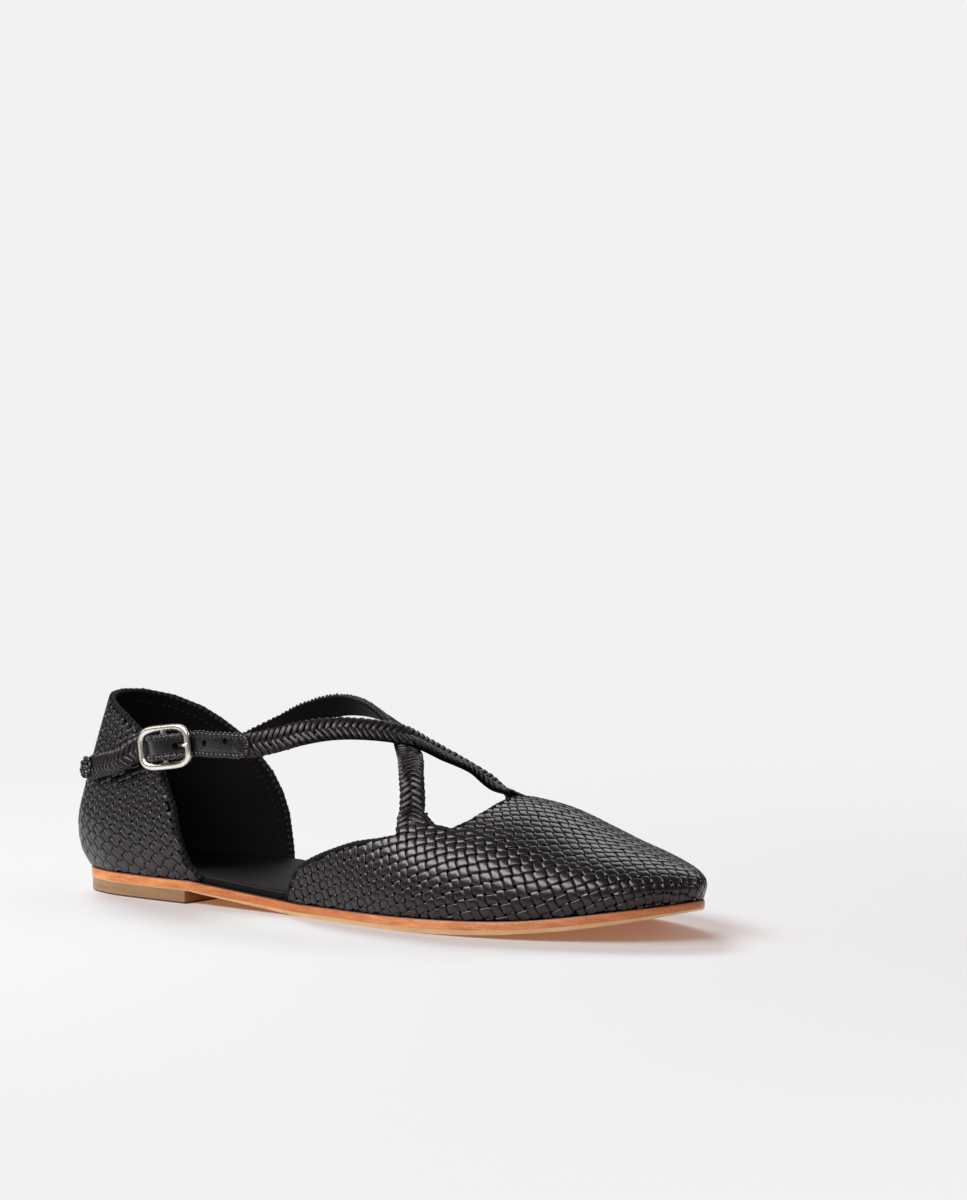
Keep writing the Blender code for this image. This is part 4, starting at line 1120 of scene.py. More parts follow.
# wall behind the weave: the base cut at a distance from its border, as a closed shell
def wallShell(name, surface, look, material):
    points = surface["points"]
    facing = surface["facing"]
    gap = surface["gap"] - look["wallRoom"]
    triangles = []
    for corners, onWall in surface["faces"]:
        if onWall:
            triangles.extend((corners[0], *corners[index:index + 2]) for index in range(1, len(corners) - 1))
    spots = []
    directions = []
    places = {}

    def keep(one, other):
        key = (min(one, other), max(one, other))
        if key not in places:
            low, high = key
            places[key] = len(spots)
            share = 0.0 if low == high else gap[low] / (gap[low] - gap[high])
            spots.append(points[low] * (1 - share) + points[high] * share)
            directions.append(unit(facing[low] * (1 - share) + facing[high] * share))
        return places[key]

    faces = []
    for corners in triangles:
        ring = []
        for here, following in zip(corners, corners[1:] + corners[:1]):
            if gap[here] > 0:
                ring.append(keep(here, here))
            if (gap[here] > 0) != (gap[following] > 0):
                ring.append(keep(here, following))
        if len(ring) > 2:
            faces.append(tuple(ring))
    spots = np.array(spots)
    directions = np.array(directions)
    count = len(spots)
    edges = {pair for face in faces for pair in zip(face, face[1:] + face[:1])}
    whole = faces + [tuple(corner + count for corner in reversed(face)) for face in faces]
    for start, finish in sorted(edges):
        if (finish, start) not in edges:
            whole.append((finish, start, start + count, finish + count))
    both = np.concatenate([spots + directions * look[key] for key in ("wallOuter", "wallInner")])
    return makePiece(name, both, whole, material, sharp=50)


weaveLook = {
    "vampPitch": 3.3, "quarterPitch": 3.1, "width": 0.8, "thickness": 0.75, "wave": 0.33, "tilt": 0.07,
    "lift": -0.3, "steps": 5, "room": 0.7, "wander": 1.0, "wallOuter": -0.95, "wallInner": -2.0,
    "wallRoom": 0.35,
}
laceLook = {"spacing": 2.2, "depth": 1.0, "height": 0.75, "lace": 2.6, "thick": 0.32, "steps": 14,
            "sink": 0.3, "inward": 0.8, "leather": "edgeLace"}
stitchLook = {"spacing": 2.3, "length": 1.7, "thick": 0.5, "below": 3.6, "proud": 0.05,
              "leather": "edgeLace"}


def growWeave(name, surface, lattice, pitch, seed):
    faces = [corners for corners, _ in surface["faces"]]
    inside = lattice[surface["gap"] > 0]
    lattice = lattice - (inside.max(axis=0) + inside.min(axis=0)) / 2
    reach = np.abs(lattice[surface["gap"] > 0]).max(axis=0) / pitch
    count = 2 * int(math.ceil(reach.max())) + 2
    base = patternBase(name + "_base", surface["points"], lattice, surface["facing"], surface["gap"], faces)
    labels = {"Wave": "wave", "Strip Thickness": "thickness", "Lift": "lift", "Room": "room",
              "Wander": "wander"}
    return growPiece(name, base, weaveStrips, {
        **inMetres(weaveLook, labels), "Count Along": count, "Count Across": count + 1, "Pitch": pitch * mm,
        "Strip Width": weaveLook["width"] * pitch * mm, "Steps": weaveLook["steps"],
        "Tilt": weaveLook["tilt"], "Seed": seed, "Material": leathers["wovenLeather"],
    })


vampBody = vampSurface()
vampLattice = latticeOf(vampBody["flat"], weaveGuide)
vampWeave = growWeave("vamp_weave", vampBody, vampLattice, weaveLook["vampPitch"], 3.0)
vampWall = wallShell("vamp_wall", vampBody, weaveLook, leathers["liningLeather"])
quarterBody = quarterSurface()
heelLattice = quarterLattice(quarterBody["flat"])
quarterWeave = growWeave("quarter_weave", quarterBody, heelLattice, weaveLook["quarterPitch"], 11.0)
quarterWall = wallShell("quarter_wall", quarterBody, weaveLook, leathers["liningLeather"])


# places along an edge, sunk a little below it and into the wall
def sunkLine(line, low, deep):
    spots, facings = line
    down = np.cross(unit(np.gradient(spots, axis=0)), facings)
    if down[:, 2].mean() > 0:
        down = -down
    return spots + unit(down) * low - facings * deep, facings


def vampEdge(side, rows):
    line = topline(side, rows)
    return vampPoint(side, line[:, 2], line[:, 3]), vampFacing(side, line[:, 2], line[:, 3])


def vampLine():
    inner = vampEdge(1, upperShape["innerTopline"])
    outer = vampEdge(-1, upperShape["outerTopline"])
    return [np.concatenate([one, other[::-1][1:]]) for one, other in zip(inner, outer)]


def edgeLace(name, line):
    return growLace(name, [sunkLine(line, laceLook["sink"], laceLook["inward"])], laceLook)


vampLace = edgeLace("vamp_edge", vampLine())
edgeRows = quarterEdgeRows()
quarterLine = (quarterPoint(*edgeRows.T), quarterFacing(*edgeRows.T))
quarterLace = edgeLace("quarter_edge", quarterLine)
liningLine = sunkLine(quarterLine, stitchLook["below"], -weaveLook["wallInner"] + stitchLook["proud"])
quarterStitch = growStitches("quarter_stitches", [liningLine], stitchLook)
for piece in (vampWeave, vampWall, vampLace):
    seat(piece, "woven_leather", "vamp")
for piece in (quarterWeave, quarterWall, quarterLace, quarterStitch):
    seat(piece, "woven_leather", "quarter")

# Straps
strapShape = {
    "wide": 8.6, "thick": 2.3, "crossSeat": 48.4, "crossSeatGap": 1.8, "into": 2.6,
    "flare": (0.12, 0.8), "flareRun": 11.0, "feel": 0.3,
    # station, share of the ridge height, stand off the weave
    "outerEar": ((154.9, 0.64, -1.9), (154, 0.69, -0.9), (152.9, 0.735, -0.4), (151.5, 0.785, -0.7)),
    "innerEar": ((160.3, 0.71, -1.9), (159.6, 0.75, -0.9), (158.7, 0.79, -0.4), (157.3, 0.845, -0.7)),
    # station, side, height, facing
    "cross": (
        (147.5, -20.8, 47, 0.28, -0.78, 0.55),
        (142, -14.2, 51.6, 0.4, -0.6, 0.68), (134, -5.8, 54.4, 0.52, -0.3, 0.79),
        (124.5, 2.2, 59.2, 0.5, 0.1, 0.85), (108.6, 9.8, 64.2, 0.3, 0.55, 0.75),
        (91, 16.6, 65, 0.15, 0.8, 0.55), (69.5, 22.8, 60.4, 0.05, 0.93, 0.35),
        (56, 25.6, 55, 0, 0.97, 0.24),
    ),
    "buckle": (
        (152.2, 16.9, 42.4, 0.6, 0.15, 0.78), (146.8, 11.8, 47.8, 0.5, 0.25, 0.83),
        (140.8, 3, 53.4, 0.52, 0, 0.85), (136.2, -7, 58.8, 0.5, -0.3, 0.81),
        (123.9, -15, 61.2, 0.35, -0.6, 0.72), (114.5, -21.4, 61.2, 0.2, -0.8, 0.57),
        (107.5, -27, 59.9, 0.08, -0.93, 0.36), (98, -31.2, 57, 0, -0.98, 0.2),
        (88, -33.6, 54.9, 0, -0.99, 0.1),
    ),
    "patch": ((79.5, -33.1, 54.6, 0, -0.99, 0.06), (71.5, -32.2, 54.2, 0, -0.99, 0.02)),
    "tail": (
        (30.6, -29.5, 46.4, -0.3, -0.95, 0.1), (20.8, -27, 43.9, -0.45, -0.88, 0.12),
        (12, -23.3, 42, -0.6, -0.79, 0.12), (5, -19.4, 40.8, -0.7, -0.7, 0.12),
        (2.6, -17.8, 40.4, -0.72, -0.68, 0.12),
    ),
}
plaitLook = {"strands": 5, "period": 11.0, "strand": 1.55, "thick": 1.0, "wave": 0.44, "lift": 0.36,
             "crown": 0.25, "backing": 0.9, "backingRoom": 0.35, "backingRound": 0.4, "stepsPerMm": 2.6,
             "stray": 1.35, "rowStep": 0.8, "over": 3.0, "beyond": 1.5, "columns": 9, "lean": 0.12,
             "trim": 0.05}
buckleShape = {
    "place": (52.0, -32.0, 52.2), "tilt": 8.0, "turn": -5.5, "long": 22.7,
    "bar": 0.8, "barSides": 20, "ring": (22.2, 12.6, 4.2), "ringSteps": (110, 20), "ringDots": 1201,
    "wire": (1.2, 0.95), "dip": -2.3, "lift": 3.5, "waves": 13, "entry": 15.0, "exit": -14.6,
    "loopSteps": 25, "cutter": 4.0,
}


def pathAlong(rows):
    rows = np.asarray(rows, float)
    travel = travelOf(rows[:, :3])
    lines = [through(travel, values) for values in rows.T]

    def at(place):
        inside = min(max(place, 0.0), travel[-1])
        ahead = min(inside + strapShape["feel"], travel[-1])
        behind = max(inside - strapShape["feel"], 0.0)
        spot, front, back = (np.array([line(run) for line in lines[:3]]) for run in (inside, ahead, behind))
        along = unit(front - back)
        facing = np.array([line(inside) for line in lines[3:]])
        facing = unit(facing - along * (facing @ along))
        return spot + along * (place - inside), along, facing, np.cross(along, facing)

    return at, travel


def framesBetween(at, start, finish, step):
    count = max(3, int(round((finish - start) / step)) + 1)
    places = np.linspace(start, finish, count)
    return places, [at(place) for place in places]


# first rows of a strap: from under the weave over an ear of the vamp
def earRows(side, rows):
    seats = []
    for station, share, stand in rows:
        place = (float(lengthAt(side, station)), toplineLift(station, share))
        facing = vampFacing(side, *place)
        seats.append(tuple(vampPoint(side, *place) + facing * stand) + tuple(facing))
    return seats


# middle of the wall on the front edge of the quarter
def quarterSeat(side, rows, height):
    station = float(np.interp(-height, -column(rows, 1), column(rows, 0)))
    around = quarterAround(side, station, height)
    facing = quarterFacing(around, height)
    return quarterPoint(around, height) - facing * upperShape["wall"] / 2, facing


def crossStrapPath():
    rows = earRows(-1, strapShape["outerEar"]) + list(strapShape["cross"])
    spot, facing = quarterSeat(1, upperShape["innerQuarter"], strapShape["crossSeat"])
    onward = unit(np.asarray(rows[-1][:3]) - spot)
    rows.append(tuple(spot + onward * strapShape["crossSeatGap"]) + tuple(facing))
    return pathAlong(rows)


def buckleAxes():
    tilt = math.radians(buckleShape["tilt"])
    turn = math.radians(buckleShape["turn"])
    along = np.array([math.cos(tilt) * math.cos(turn), math.cos(tilt) * math.sin(turn), math.sin(tilt)])
    out = unit(np.cross(along, (0.0, 0.0, 1.0)))
    return np.array(buckleShape["place"]), along, np.cross(out, along), out


def inBuckle(place, high, lift):
    spot, along, up, out = buckleAxes()
    return spot + along * place + up * high + out * lift


# whole path of the buckle strap: braid, patch through the buckle, braided tail
def buckleStrapPath():
    out = tuple(buckleAxes()[3])
    low = buckleShape["dip"]
    high = buckleShape["lift"]
    rows = earRows(1, strapShape["innerEar"]) + list(strapShape["buckle"])
    patchStart = len(rows) - 1
    rows.extend(strapShape["patch"])
    rows.append(tuple(inBuckle(buckleShape["entry"], 0.0, low)) + out)
    for share in np.linspace(0, 2, buckleShape["waves"]):
        lift = (low + high) / 2 - (high - low) / 2 * math.cos(math.pi * share)
        rows.append(tuple(inBuckle(buckleShape["long"] / 2 * (1 - share), 0.0, lift)) + out)
    rows.append(tuple(inBuckle(buckleShape["exit"], 0.0, low)) + out)
    patchFinish = len(rows) - 1
    at, travel = pathAlong(rows + list(strapShape["tail"]))
    return at, travel[patchStart], travel[patchFinish], travel[-1]


# closed body from a section carried along frames
def sweep(name, frames, section, material, sharp=None):
    points = []
    rings = []
    for index, (spot, _, facing, across) in enumerate(frames):
        ring = section(index)
        rings.append(list(range(len(points), len(points) + len(ring))))
        points.extend(spot + across * wide + facing * deep for wide, deep in ring)
    ends = [tuple(reversed(rings[0])), tuple(rings[-1])]
    return makePiece(name, points, ends + bandFaces(rings), material, sharp=sharp)


# flat section with round edges
def roundedSection(half, low, high, bend, steps=5):
    fit = 0.98  # the rounding never quite meets in the middle
    bend = min(bend, half * fit, (high - low) / 2 * fit)
    ring = []
    for turn, (side, level) in enumerate(((1, 1), (-1, 1), (-1, -1), (1, -1))):
        middle = high - bend if level == 1 else low + bend
        for angle in quarterTurn * (turn + np.linspace(0, 1, steps)):
            ring.append((side * (half - bend) + bend * math.cos(angle), middle + bend * math.sin(angle)))
    return ring


# braided strap: strands over a smooth backing; the taper gives the width on either side
def growBraid(name, at, start, finish, seed, taper):
    look = plaitLook
    places, frames = framesBetween(at, start - look["over"], finish + look["over"], look["rowStep"])
    half = strapShape["wide"] / 2
    wides = np.linspace(-half - look["beyond"], half + look["beyond"], look["columns"])
    points = []
    flats = []
    facings = []
    for place, (spot, _, facing, across) in zip(places, frames):
        squeeze = taper(place)
        for wide in wides:
            reach = wide * squeeze[int(wide > 0)]
            points.append(spot + across * reach - facing * look["crown"] * (wide / half) ** 2)
            flats.append((place, wide))
            facings.append(unit(facing + across * look["lean"] * wide / half))
    grid = np.arange(len(points)).reshape(len(places), -1).tolist()
    base = patternBase(name + "_base", points, flats, facings, np.ones(len(points)), bandFaces(grid, False))
    length = finish - start
    labels = {"Period": "period", "Strip Width": "strand", "Strip Thickness": "thick", "Wave": "wave",
              "Lift": "lift", "Stray": "stray"}
    braid = growPiece(name, base, plaitStrands, {
        **inMetres(look, labels),
        "Start": (start + look["trim"]) * mm, "Length": (length - 2 * look["trim"]) * mm,
        "Strands": look["strands"], "Steps": int(length * look["stepsPerMm"]), "Half Width": half * mm,
        "Seed": seed, "Material": leathers["braidLeather"],
    })
    low = -strapShape["thick"] / 2
    places, frames = framesBetween(at, start, finish, look["rowStep"])

    def section(index):
        wide = (half - look["backingRoom"]) * min(taper(places[index]))
        return roundedSection(wide, low, low + look["backing"], look["backingRound"])

    return braid, sweep(name + "_backing", frames, section, leathers["liningLeather"])


# straps spread where they grow out of an ear, more on the throat side
def earFlare(place, throatSide):
    near = limited(1 - place / strapShape["flareRun"]) ** 2
    low, high = (1 + share * near for share in strapShape["flare"])
    return (low, high) if throatSide > 0 else (high, low)


at, travel = crossStrapPath()
finish = travel[-1] + strapShape["into"]
for piece in growBraid("cross_braid", at, 0.0, finish, 21.0, lambda place: earFlare(place, 1)):
    seat(piece, "braid", "cross_strap")

at, patchStart, patchFinish, whole = buckleStrapPath()
finish = patchStart + strapShape["into"]
for piece in growBraid("buckle_braid", at, 0.0, finish, 31.0, lambda place: earFlare(place, -1)):
    seat(piece, "braid", "buckle_strap")

# rolled end of the tail, wrapped in lace; the tail narrows over the taper's run before its end
knotLook = {"spacing": 1.8, "depth": 0.75, "height": 0.7, "lace": 1.3, "thick": 0.5, "steps": 14,
            "size": (1.8, 3.0), "back": 12.0, "out": 2.1, "turned": (0.5, -1.6, 0.0), "loops": (1.0, 0.3),
            "loopSteps": 33, "leather": "smoothLeather"}
tailLook = {"start": -1.5, "into": 1.0, "taperEnd": 3.0, "taperRun": 6.0, "narrow": 0.75}


def tailTaper(place):
    left = limited((whole - place - tailLook["taperEnd"]) / tailLook["taperRun"])
    return (tailLook["narrow"] + (1 - tailLook["narrow"]) * left,) * 2


def growKnot():
    spot, _, facing, across = at(whole - knotLook["back"])
    long, wide = knotLook["size"]
    middle = spot + facing * knotLook["out"]
    facing = unit(facing + np.array(knotLook["turned"]))
    along = np.cross(facing, across)
    lines = []
    for part in knotLook["loops"]:
        spots = [middle + along * long * part * math.cos(turn) + across * wide * (0.25 + 0.75 * part)
                 * math.sin(turn) for turn in np.linspace(0, fullTurn, knotLook["loopSteps"])]
        lines.append((spots, [facing] * len(spots)))
    return growLace("tail_knot", lines, knotLook)


tailEnds = (patchFinish + tailLook["start"], whole - knotLook["back"] + tailLook["into"])
for piece in growBraid("tail_braid", at, *tailEnds, 41.0, tailTaper):
    seat(piece, "braid", "strap_tail")
seat(growKnot(), "braid", "strap_tail")


# one body joined to a piece or cut out of it
def shapeBy(piece, tool, operation):
    change = piece.modifiers.new("shape", "BOOLEAN")
    change.operation = operation
    change.solver = "EXACT"
    change.material_mode = "TRANSFER"
    change.object = tool
    graph = bpy.context.evaluated_depsgraph_get()
    mesh = bpy.data.meshes.new_from_object(piece.evaluated_get(graph), depsgraph=graph)
    piece.modifiers.clear()
    piece.data = mesh
    bpy.data.objects.remove(tool)


def framesAcross(spots, across):
    spots = np.asarray(spots, float)
    frames = []
    for index, spot in enumerate(spots):
        along = unit(spots[min(index + 1, len(spots) - 1)] - spots[max(index - 1, 0)])
        facing = unit(np.cross(along, across))
        frames.append((spot, along, facing, np.cross(along, facing)))
    return frames


def rod(name, spots, radii, sideCount, across, material):
    turns = np.linspace(0, fullTurn, sideCount, endpoint=False)
    frames = framesAcross(spots, across)
    radii = np.broadcast_to(radii, len(frames))

    def section(index):
        return [(radii[index] * math.cos(turn), radii[index] * math.sin(turn)) for turn in turns]

    return sweep(name, frames, section, material, sharp=60)


# hole patch; it starts over the end of the braid and comes down behind it
patchShape = {
    "wide": 7.6, "thick": 1.8, "before": 2.6, "level": 1.6, "fall": 3.0, "rise": 0.75, "past": 0.6,
    "step": 0.6, "round": 0.45, "tip": 0.35, "lineStep": 0.7, "lineTip": 0.3,
    "holes": ((6.6, 1.15), (7.7, 1.15), (17.9, 1.2), (28.1, 1.2)), "holeSides": 24,
}
patchLook = {"spacing": 2.1, "depth": 1.2, "height": 0.9, "lace": 1.5, "thick": 0.6, "steps": 12,
             "inset": 0.5, "leather": "smoothLeather"}
patchStitchLook = {"spacing": 1.5, "length": 1.1, "thick": 0.45, "inset": 1.5, "proud": 0.05,
                   "leather": "smoothLeather"}


def patchRise(place):
    past = (place - patchStart - patchShape["level"]) / patchShape["fall"]
    return patchShape["rise"] * (1 - limited(past))


# half width near the rounded front end
def patchReach(half, run, tip):
    left = min(run / half, 1.0)
    return half * (tip + (1 - tip) * math.sqrt(max(0.0, 1 - (1 - left) ** 2)))


def makePatch():
    first = patchStart - patchShape["before"]
    places, frames = framesBetween(at, first, patchFinish + patchShape["past"], patchShape["step"])
    half = patchShape["wide"] / 2
    top = patchShape["thick"] / 2

    def section(index):
        wide = patchReach(half, places[index] - first, patchShape["tip"])
        return roundedSection(wide, -top, top + patchRise(places[index]), patchShape["round"])

    patch = sweep("hole_patch_leather", frames, section, leathers["smoothLeather"], sharp=55)
    spot, along, up, out = buckleAxes()
    offsets = np.array([item[0] for item in frames]) - spot
    cutter = buckleShape["cutter"]
    for place, radius in patchShape["holes"]:
        lift = float(offsets[int(np.argmin(abs(offsets @ along - place)))] @ out)
        ends = [inBuckle(place, 0.0, lift + reach) for reach in (-cutter, cutter)]
        tool = rod("hole_cutter", ends, radius, patchShape["holeSides"], up, leathers["liningLeather"])
        shapeBy(patch, tool, "DIFFERENCE")
    smoothMesh(patch.data, 40)
    return patch


# line round the patch's free edges
def patchLine(inset, lift):
    first = patchStart - patchShape["before"] + inset
    places, frames = framesBetween(at, first, patchFinish, patchShape["lineStep"])
    half = patchShape["wide"] / 2 - inset
    left = []
    right = []
    facings = []
    for place, (spot, _, facing, across) in zip(places, frames):
        wide = patchReach(half, place - first, patchShape["lineTip"])
        spot = spot + facing * (lift + patchRise(place))
        left.append(spot + across * wide)
        right.append(spot - across * wide)
        facings.append(facing)
    return [(np.array(left[::-1] + right), np.array(facings[::-1] + facings))]


seat(makePatch(), "strap_leather", "hole_patch")
hem = growLace("hole_patch_edge", patchLine(patchLook["inset"], 0.0), patchLook)
seat(hem, "strap_leather", "hole_patch")
threads = patchLine(patchStitchLook["inset"], patchShape["thick"] / 2 + patchStitchLook["proud"])
seat(growStitches("hole_patch_stitches", threads, patchStitchLook), "strap_leather", "hole_patch")

# Buckle metal: pale plated wire with faint handling marks
metalLook = {"bright": (0.99, 0.96, 0.87), "worn": (0.95, 0.89, 0.76), "rough": (0.2, 0.38),
             "wearScale": 240.0, "bump": 0.15, "depth": 0.00002}


def makeMetal():
    material, tree, shader = startMaterial("paleGoldPlate")
    wear = useGroup(tree, softWear, Scale=metalLook["wearScale"], Amount=1.0)
    fillInputs(tree, shader, {
        "Base Color": wear["Mask"].mix(metalLook["bright"], metalLook["worn"]),
        "Roughness": wear["Scratch"].spread(*metalLook["rough"]), "Metallic": 1.0,
        "Normal": wear["Scratch"].bump(metalLook["bump"], metalLook["depth"]),
    })
    return material


plate = makeMetal()


def makeBuckleFrame():
    long, high, square = buckleShape["ring"]
    count, around = buckleShape["ringSteps"]
    turns = np.linspace(0, fullTurn, buckleShape["ringDots"])
    dense = np.stack([np.sign(wave) * abs(wave) ** (2 / square) * size / 2
                      for wave, size in ((np.cos(turns), long), (np.sin(turns), high))], 1)
    travel = travelOf(dense)
    places = np.linspace(0, travel[-1], count, endpoint=False)
    spots = np.stack([np.interp(places, travel, values) for values in dense.T], 1)
    points = []
    for index, (place, rise) in enumerate(spots):
        along = unit(spots[(index + 1) % count] - spots[index - 1])
        for angle in np.linspace(0, fullTurn, around, endpoint=False):
            out = buckleShape["wire"][0] * math.cos(angle)
            lift = buckleShape["wire"][1] * math.sin(angle)
            points.append(inBuckle(place + along[1] * out, rise - along[0] * out, lift))
    rings = np.arange(count * around).reshape(count, around).tolist()
    ring = makePiece("buckle_ring", points, bandFaces(rings + rings[:1]), plate)
    ends = [inBuckle(0.0, share * high / 2, 0.0) for share in (-1, 1)]
    bar = rod("middle_bar", ends, buckleShape["bar"], buckleShape["barSides"], buckleAxes()[1], plate)
    shapeBy(ring, bar, "UNION")
    smoothMesh(ring.data, 35)
    return ring


def arcInBuckle(arc, radius):
    turns = np.radians(np.linspace(*arc, buckleShape["loopSteps"]))
    return [(radius * math.cos(turn), radius * math.sin(turn)) for turn in turns]


# prong: loop round the bar, then a slightly bowed tongue with a rounded tip
prongShape = {
    "radius": 0.6, "loop": 1.75, "arc": (150, 390), "steps": 40, "sides": 16, "tipSteps": 5, "tip": 0.15,
    "rows": ((2.6, 0.4), (4, -0.1), (5.4, -0.8), (7, -0.35), (8.6, 0.5), (10, 1.2), (11.3, 1.5),
             (12.5, 1.3)),
}


def makeProng():
    rows = np.array(prongShape["rows"])
    travel = travelOf(rows)
    fine = np.linspace(0, travel[-1], prongShape["steps"])
    tongue = zip(*(through(travel, values)(fine) for values in rows.T))
    line = arcInBuckle(prongShape["arc"], prongShape["loop"]) + list(tongue)
    spots = [inBuckle(place, 0.0, lift) for place, lift in line]
    left = np.clip((np.arange(len(spots))[::-1]) / prongShape["tipSteps"], 0, 1)
    radii = prongShape["radius"] * np.maximum(prongShape["tip"], np.sqrt(1 - (1 - left) ** 2))
    return rod("buckle_tongue", spots, radii, prongShape["sides"], buckleAxes()[2], plate)


# leather loop that holds the bar, slotted for the prong
tabShape = {"thick": 1.0, "loop": 1.6, "slot": 1.1, "slotEnds": (-3.2, 4.0), "wide": 7.8, "seat": 50.4,
            "seatGap": 3.0, "hidden": (-4.0, -0.6), "entry": (-4.2, -2.5), "arc": (250, 480), "round": 0.35}


def makeTab():
    spot, along, up, out = buckleAxes()
    start = quarterSeat(-1, upperShape["outerQuarter"], tabShape["seat"])[0] - spot
    place, lift = (float(start @ along) + tabShape["seatGap"], float(start @ out))
    line = [(place + tabShape["hidden"][0], lift + tabShape["hidden"][1]), (place, lift), tabShape["entry"]]
    line += arcInBuckle(tabShape["arc"], tabShape["loop"])
    spots = [inBuckle(place, 0.0, lift) for place, lift in line]
    deep = tabShape["thick"] / 2
    section = roundedSection(tabShape["wide"] / 2, -deep, deep, tabShape["round"])
    tab = sweep("buckle_tab_leather", framesAcross(spots, up), lambda index: section,
                leathers["smoothLeather"], sharp=50)
    corners = []
    for place in tabShape["slotEnds"]:
        for high in (-tabShape["slot"], tabShape["slot"]):
            for lift in (-buckleShape["cutter"], buckleShape["cutter"]):
                corners.append(inBuckle(place, high, lift))
    box = ((0, 1, 3, 2), (4, 6, 7, 5), (0, 4, 5, 1), (2, 3, 7, 6), (0, 2, 6, 4), (1, 5, 7, 3))
    shapeBy(tab, makePiece("slot_cutter", corners, box, leathers["smoothLeather"]), "DIFFERENCE")
    smoothMesh(tab.data, 40)
    return tab


seat(makeBuckleFrame(), "buckle_metal", "buckle_frame")
seat(makeProng(), "buckle_metal", "buckle_prong")
seat(makeTab(), "strap_leather", "buckle_tab")

# Sole, heel and insole
soleLook = {"tan": {"heel": (0.2, (0.85, 0.33, 0.1)), "waist": (0.4, (0.65, 0.19, 0.05)),
                    "ball": (0.75, (0.84, 0.36, 0.15)), "toe": (1.0, (0.65, 0.22, 0.08))},
            "deep": (0.42, 0.11, 0.03), "line": (0.045, 0.014, 0.008), "pale": (0.93, 0.64, 0.33),
            "tread": (0.52, 0.3, 0.14), "rough": (0.36, 0.6), "coat": 0.12, "coatRough": 0.35,
            "streak": (110.0, 6.0), "streakPull": 6.0, "speck": (1900.0, 2.0), "streakSpread": (-1.1, 2.3),
            "grain": 700.0, "pores": 0.6, "wearScale": 90.0, "wear": 0.8, "bump": 0.35, "depth": 0.00008}
heelLook = {"light": (0.43, 0.25, 0.12), "dark": (0.23, 0.13, 0.06), "foot": (0.05, 0.03, 0.018),
            "layer": (40.0, 5.0), "layerPull": 16.0, "layerSpread": (-0.5, 1.5), "rough": (0.38, 0.6),
            "wearScale": 110.0, "wear": 0.8, "inside": 0.12, "insideReach": (0.003, 0.0016, 0.0008),
            "bump": 0.2, "depth": 0.00008}


# streaks run along the edge; the band value is -1 on top, 0 on the tan edge, 1 on the bevel, 2 below
def makeSoleLeather():
    material, tree, shader = startMaterial("tanSole")
    place = objectPlace(tree)
    drawn = place * (1.0, 1.0, soleLook["streakPull"])
    streak = drawn.noise(*soleLook["streak"]) * 0.6 + place.noise(*soleLook["speck"]) * 0.4
    streak = streak.spread(*soleLook["streakSpread"]).clamp()
    wear = useGroup(tree, softWear, Scale=soleLook["wearScale"], Amount=soleLook["wear"])
    ends = [(shift[0] + station) * mm for station in (0.0, soleShape["length"])]
    ramp = addNode(tree, "ShaderNodeValToRGB", {"Fac": place.parts()[0].spread(0.0, 1.0, *ends)})
    stops = ramp.color_ramp.elements
    stops.remove(stops[1])
    for index, (spot, colour) in enumerate(soleLook["tan"].values()):
        stop = stops[0] if index == 0 else stops.new(spot)
        stop.position = spot
        stop.color = (*colour, 1.0)
    tan = Flow(tree, ramp.outputs["Color"])
    band = readValue(tree, "band")
    reaches = ((-0.2, -0.9), (0.35, 0.65), (1.2, 1.8))
    line, pale, below = (band.spread(0.0, 1.0, *reach) for reach in reaches)
    edge = line.mix(streak.mix(soleLook["deep"], tan), soleLook["line"])
    side = pale.mix(edge, (wear["Mask"] * 0.5).mix(soleLook["pale"], tan))
    tread = wear["Mask"].mix(soleLook["tread"], soleLook["deep"])
    grain = useGroup(tree, leatherGrain, Scale=soleLook["grain"], Pores=soleLook["pores"])
    fillInputs(tree, shader, {
        "Base Color": below.mix(side, tread), "Roughness": wear["Scratch"].spread(*soleLook["rough"]),
        "Coat Weight": soleLook["coat"], "Coat Roughness": soleLook["coatRough"],
        "Normal": (grain["Height"] + streak * 1.2).bump(soleLook["bump"], soleLook["depth"]),
    })
    return material


# stacked layers; the band value is 1 at the dark foot
def makeHeelStack():
    material, tree, shader = startMaterial("honeyHeel")
    drawn = objectPlace(tree) * (1.0, 1.0, heelLook["layerPull"])
    layer = drawn.noise(*heelLook["layer"]).spread(*heelLook["layerSpread"]).clamp()
    wear = useGroup(tree, softWear, Scale=heelLook["wearScale"], Amount=heelLook["wear"])
    stack = layer.mix(heelLook["dark"], heelLook["light"])
    fillInputs(tree, shader, {
        "Base Color": readValue(tree, "band").mix(stack, heelLook["foot"]),
        "Roughness": wear["Mask"].spread(*heelLook["rough"]),
        "Subsurface Weight": heelLook["inside"], "Subsurface Radius": heelLook["insideReach"],
        "Normal": layer.bump(heelLook["bump"], heelLook["depth"]),
    })
    return material


lidSteps = 15  # places across the top and underside of a sole plate


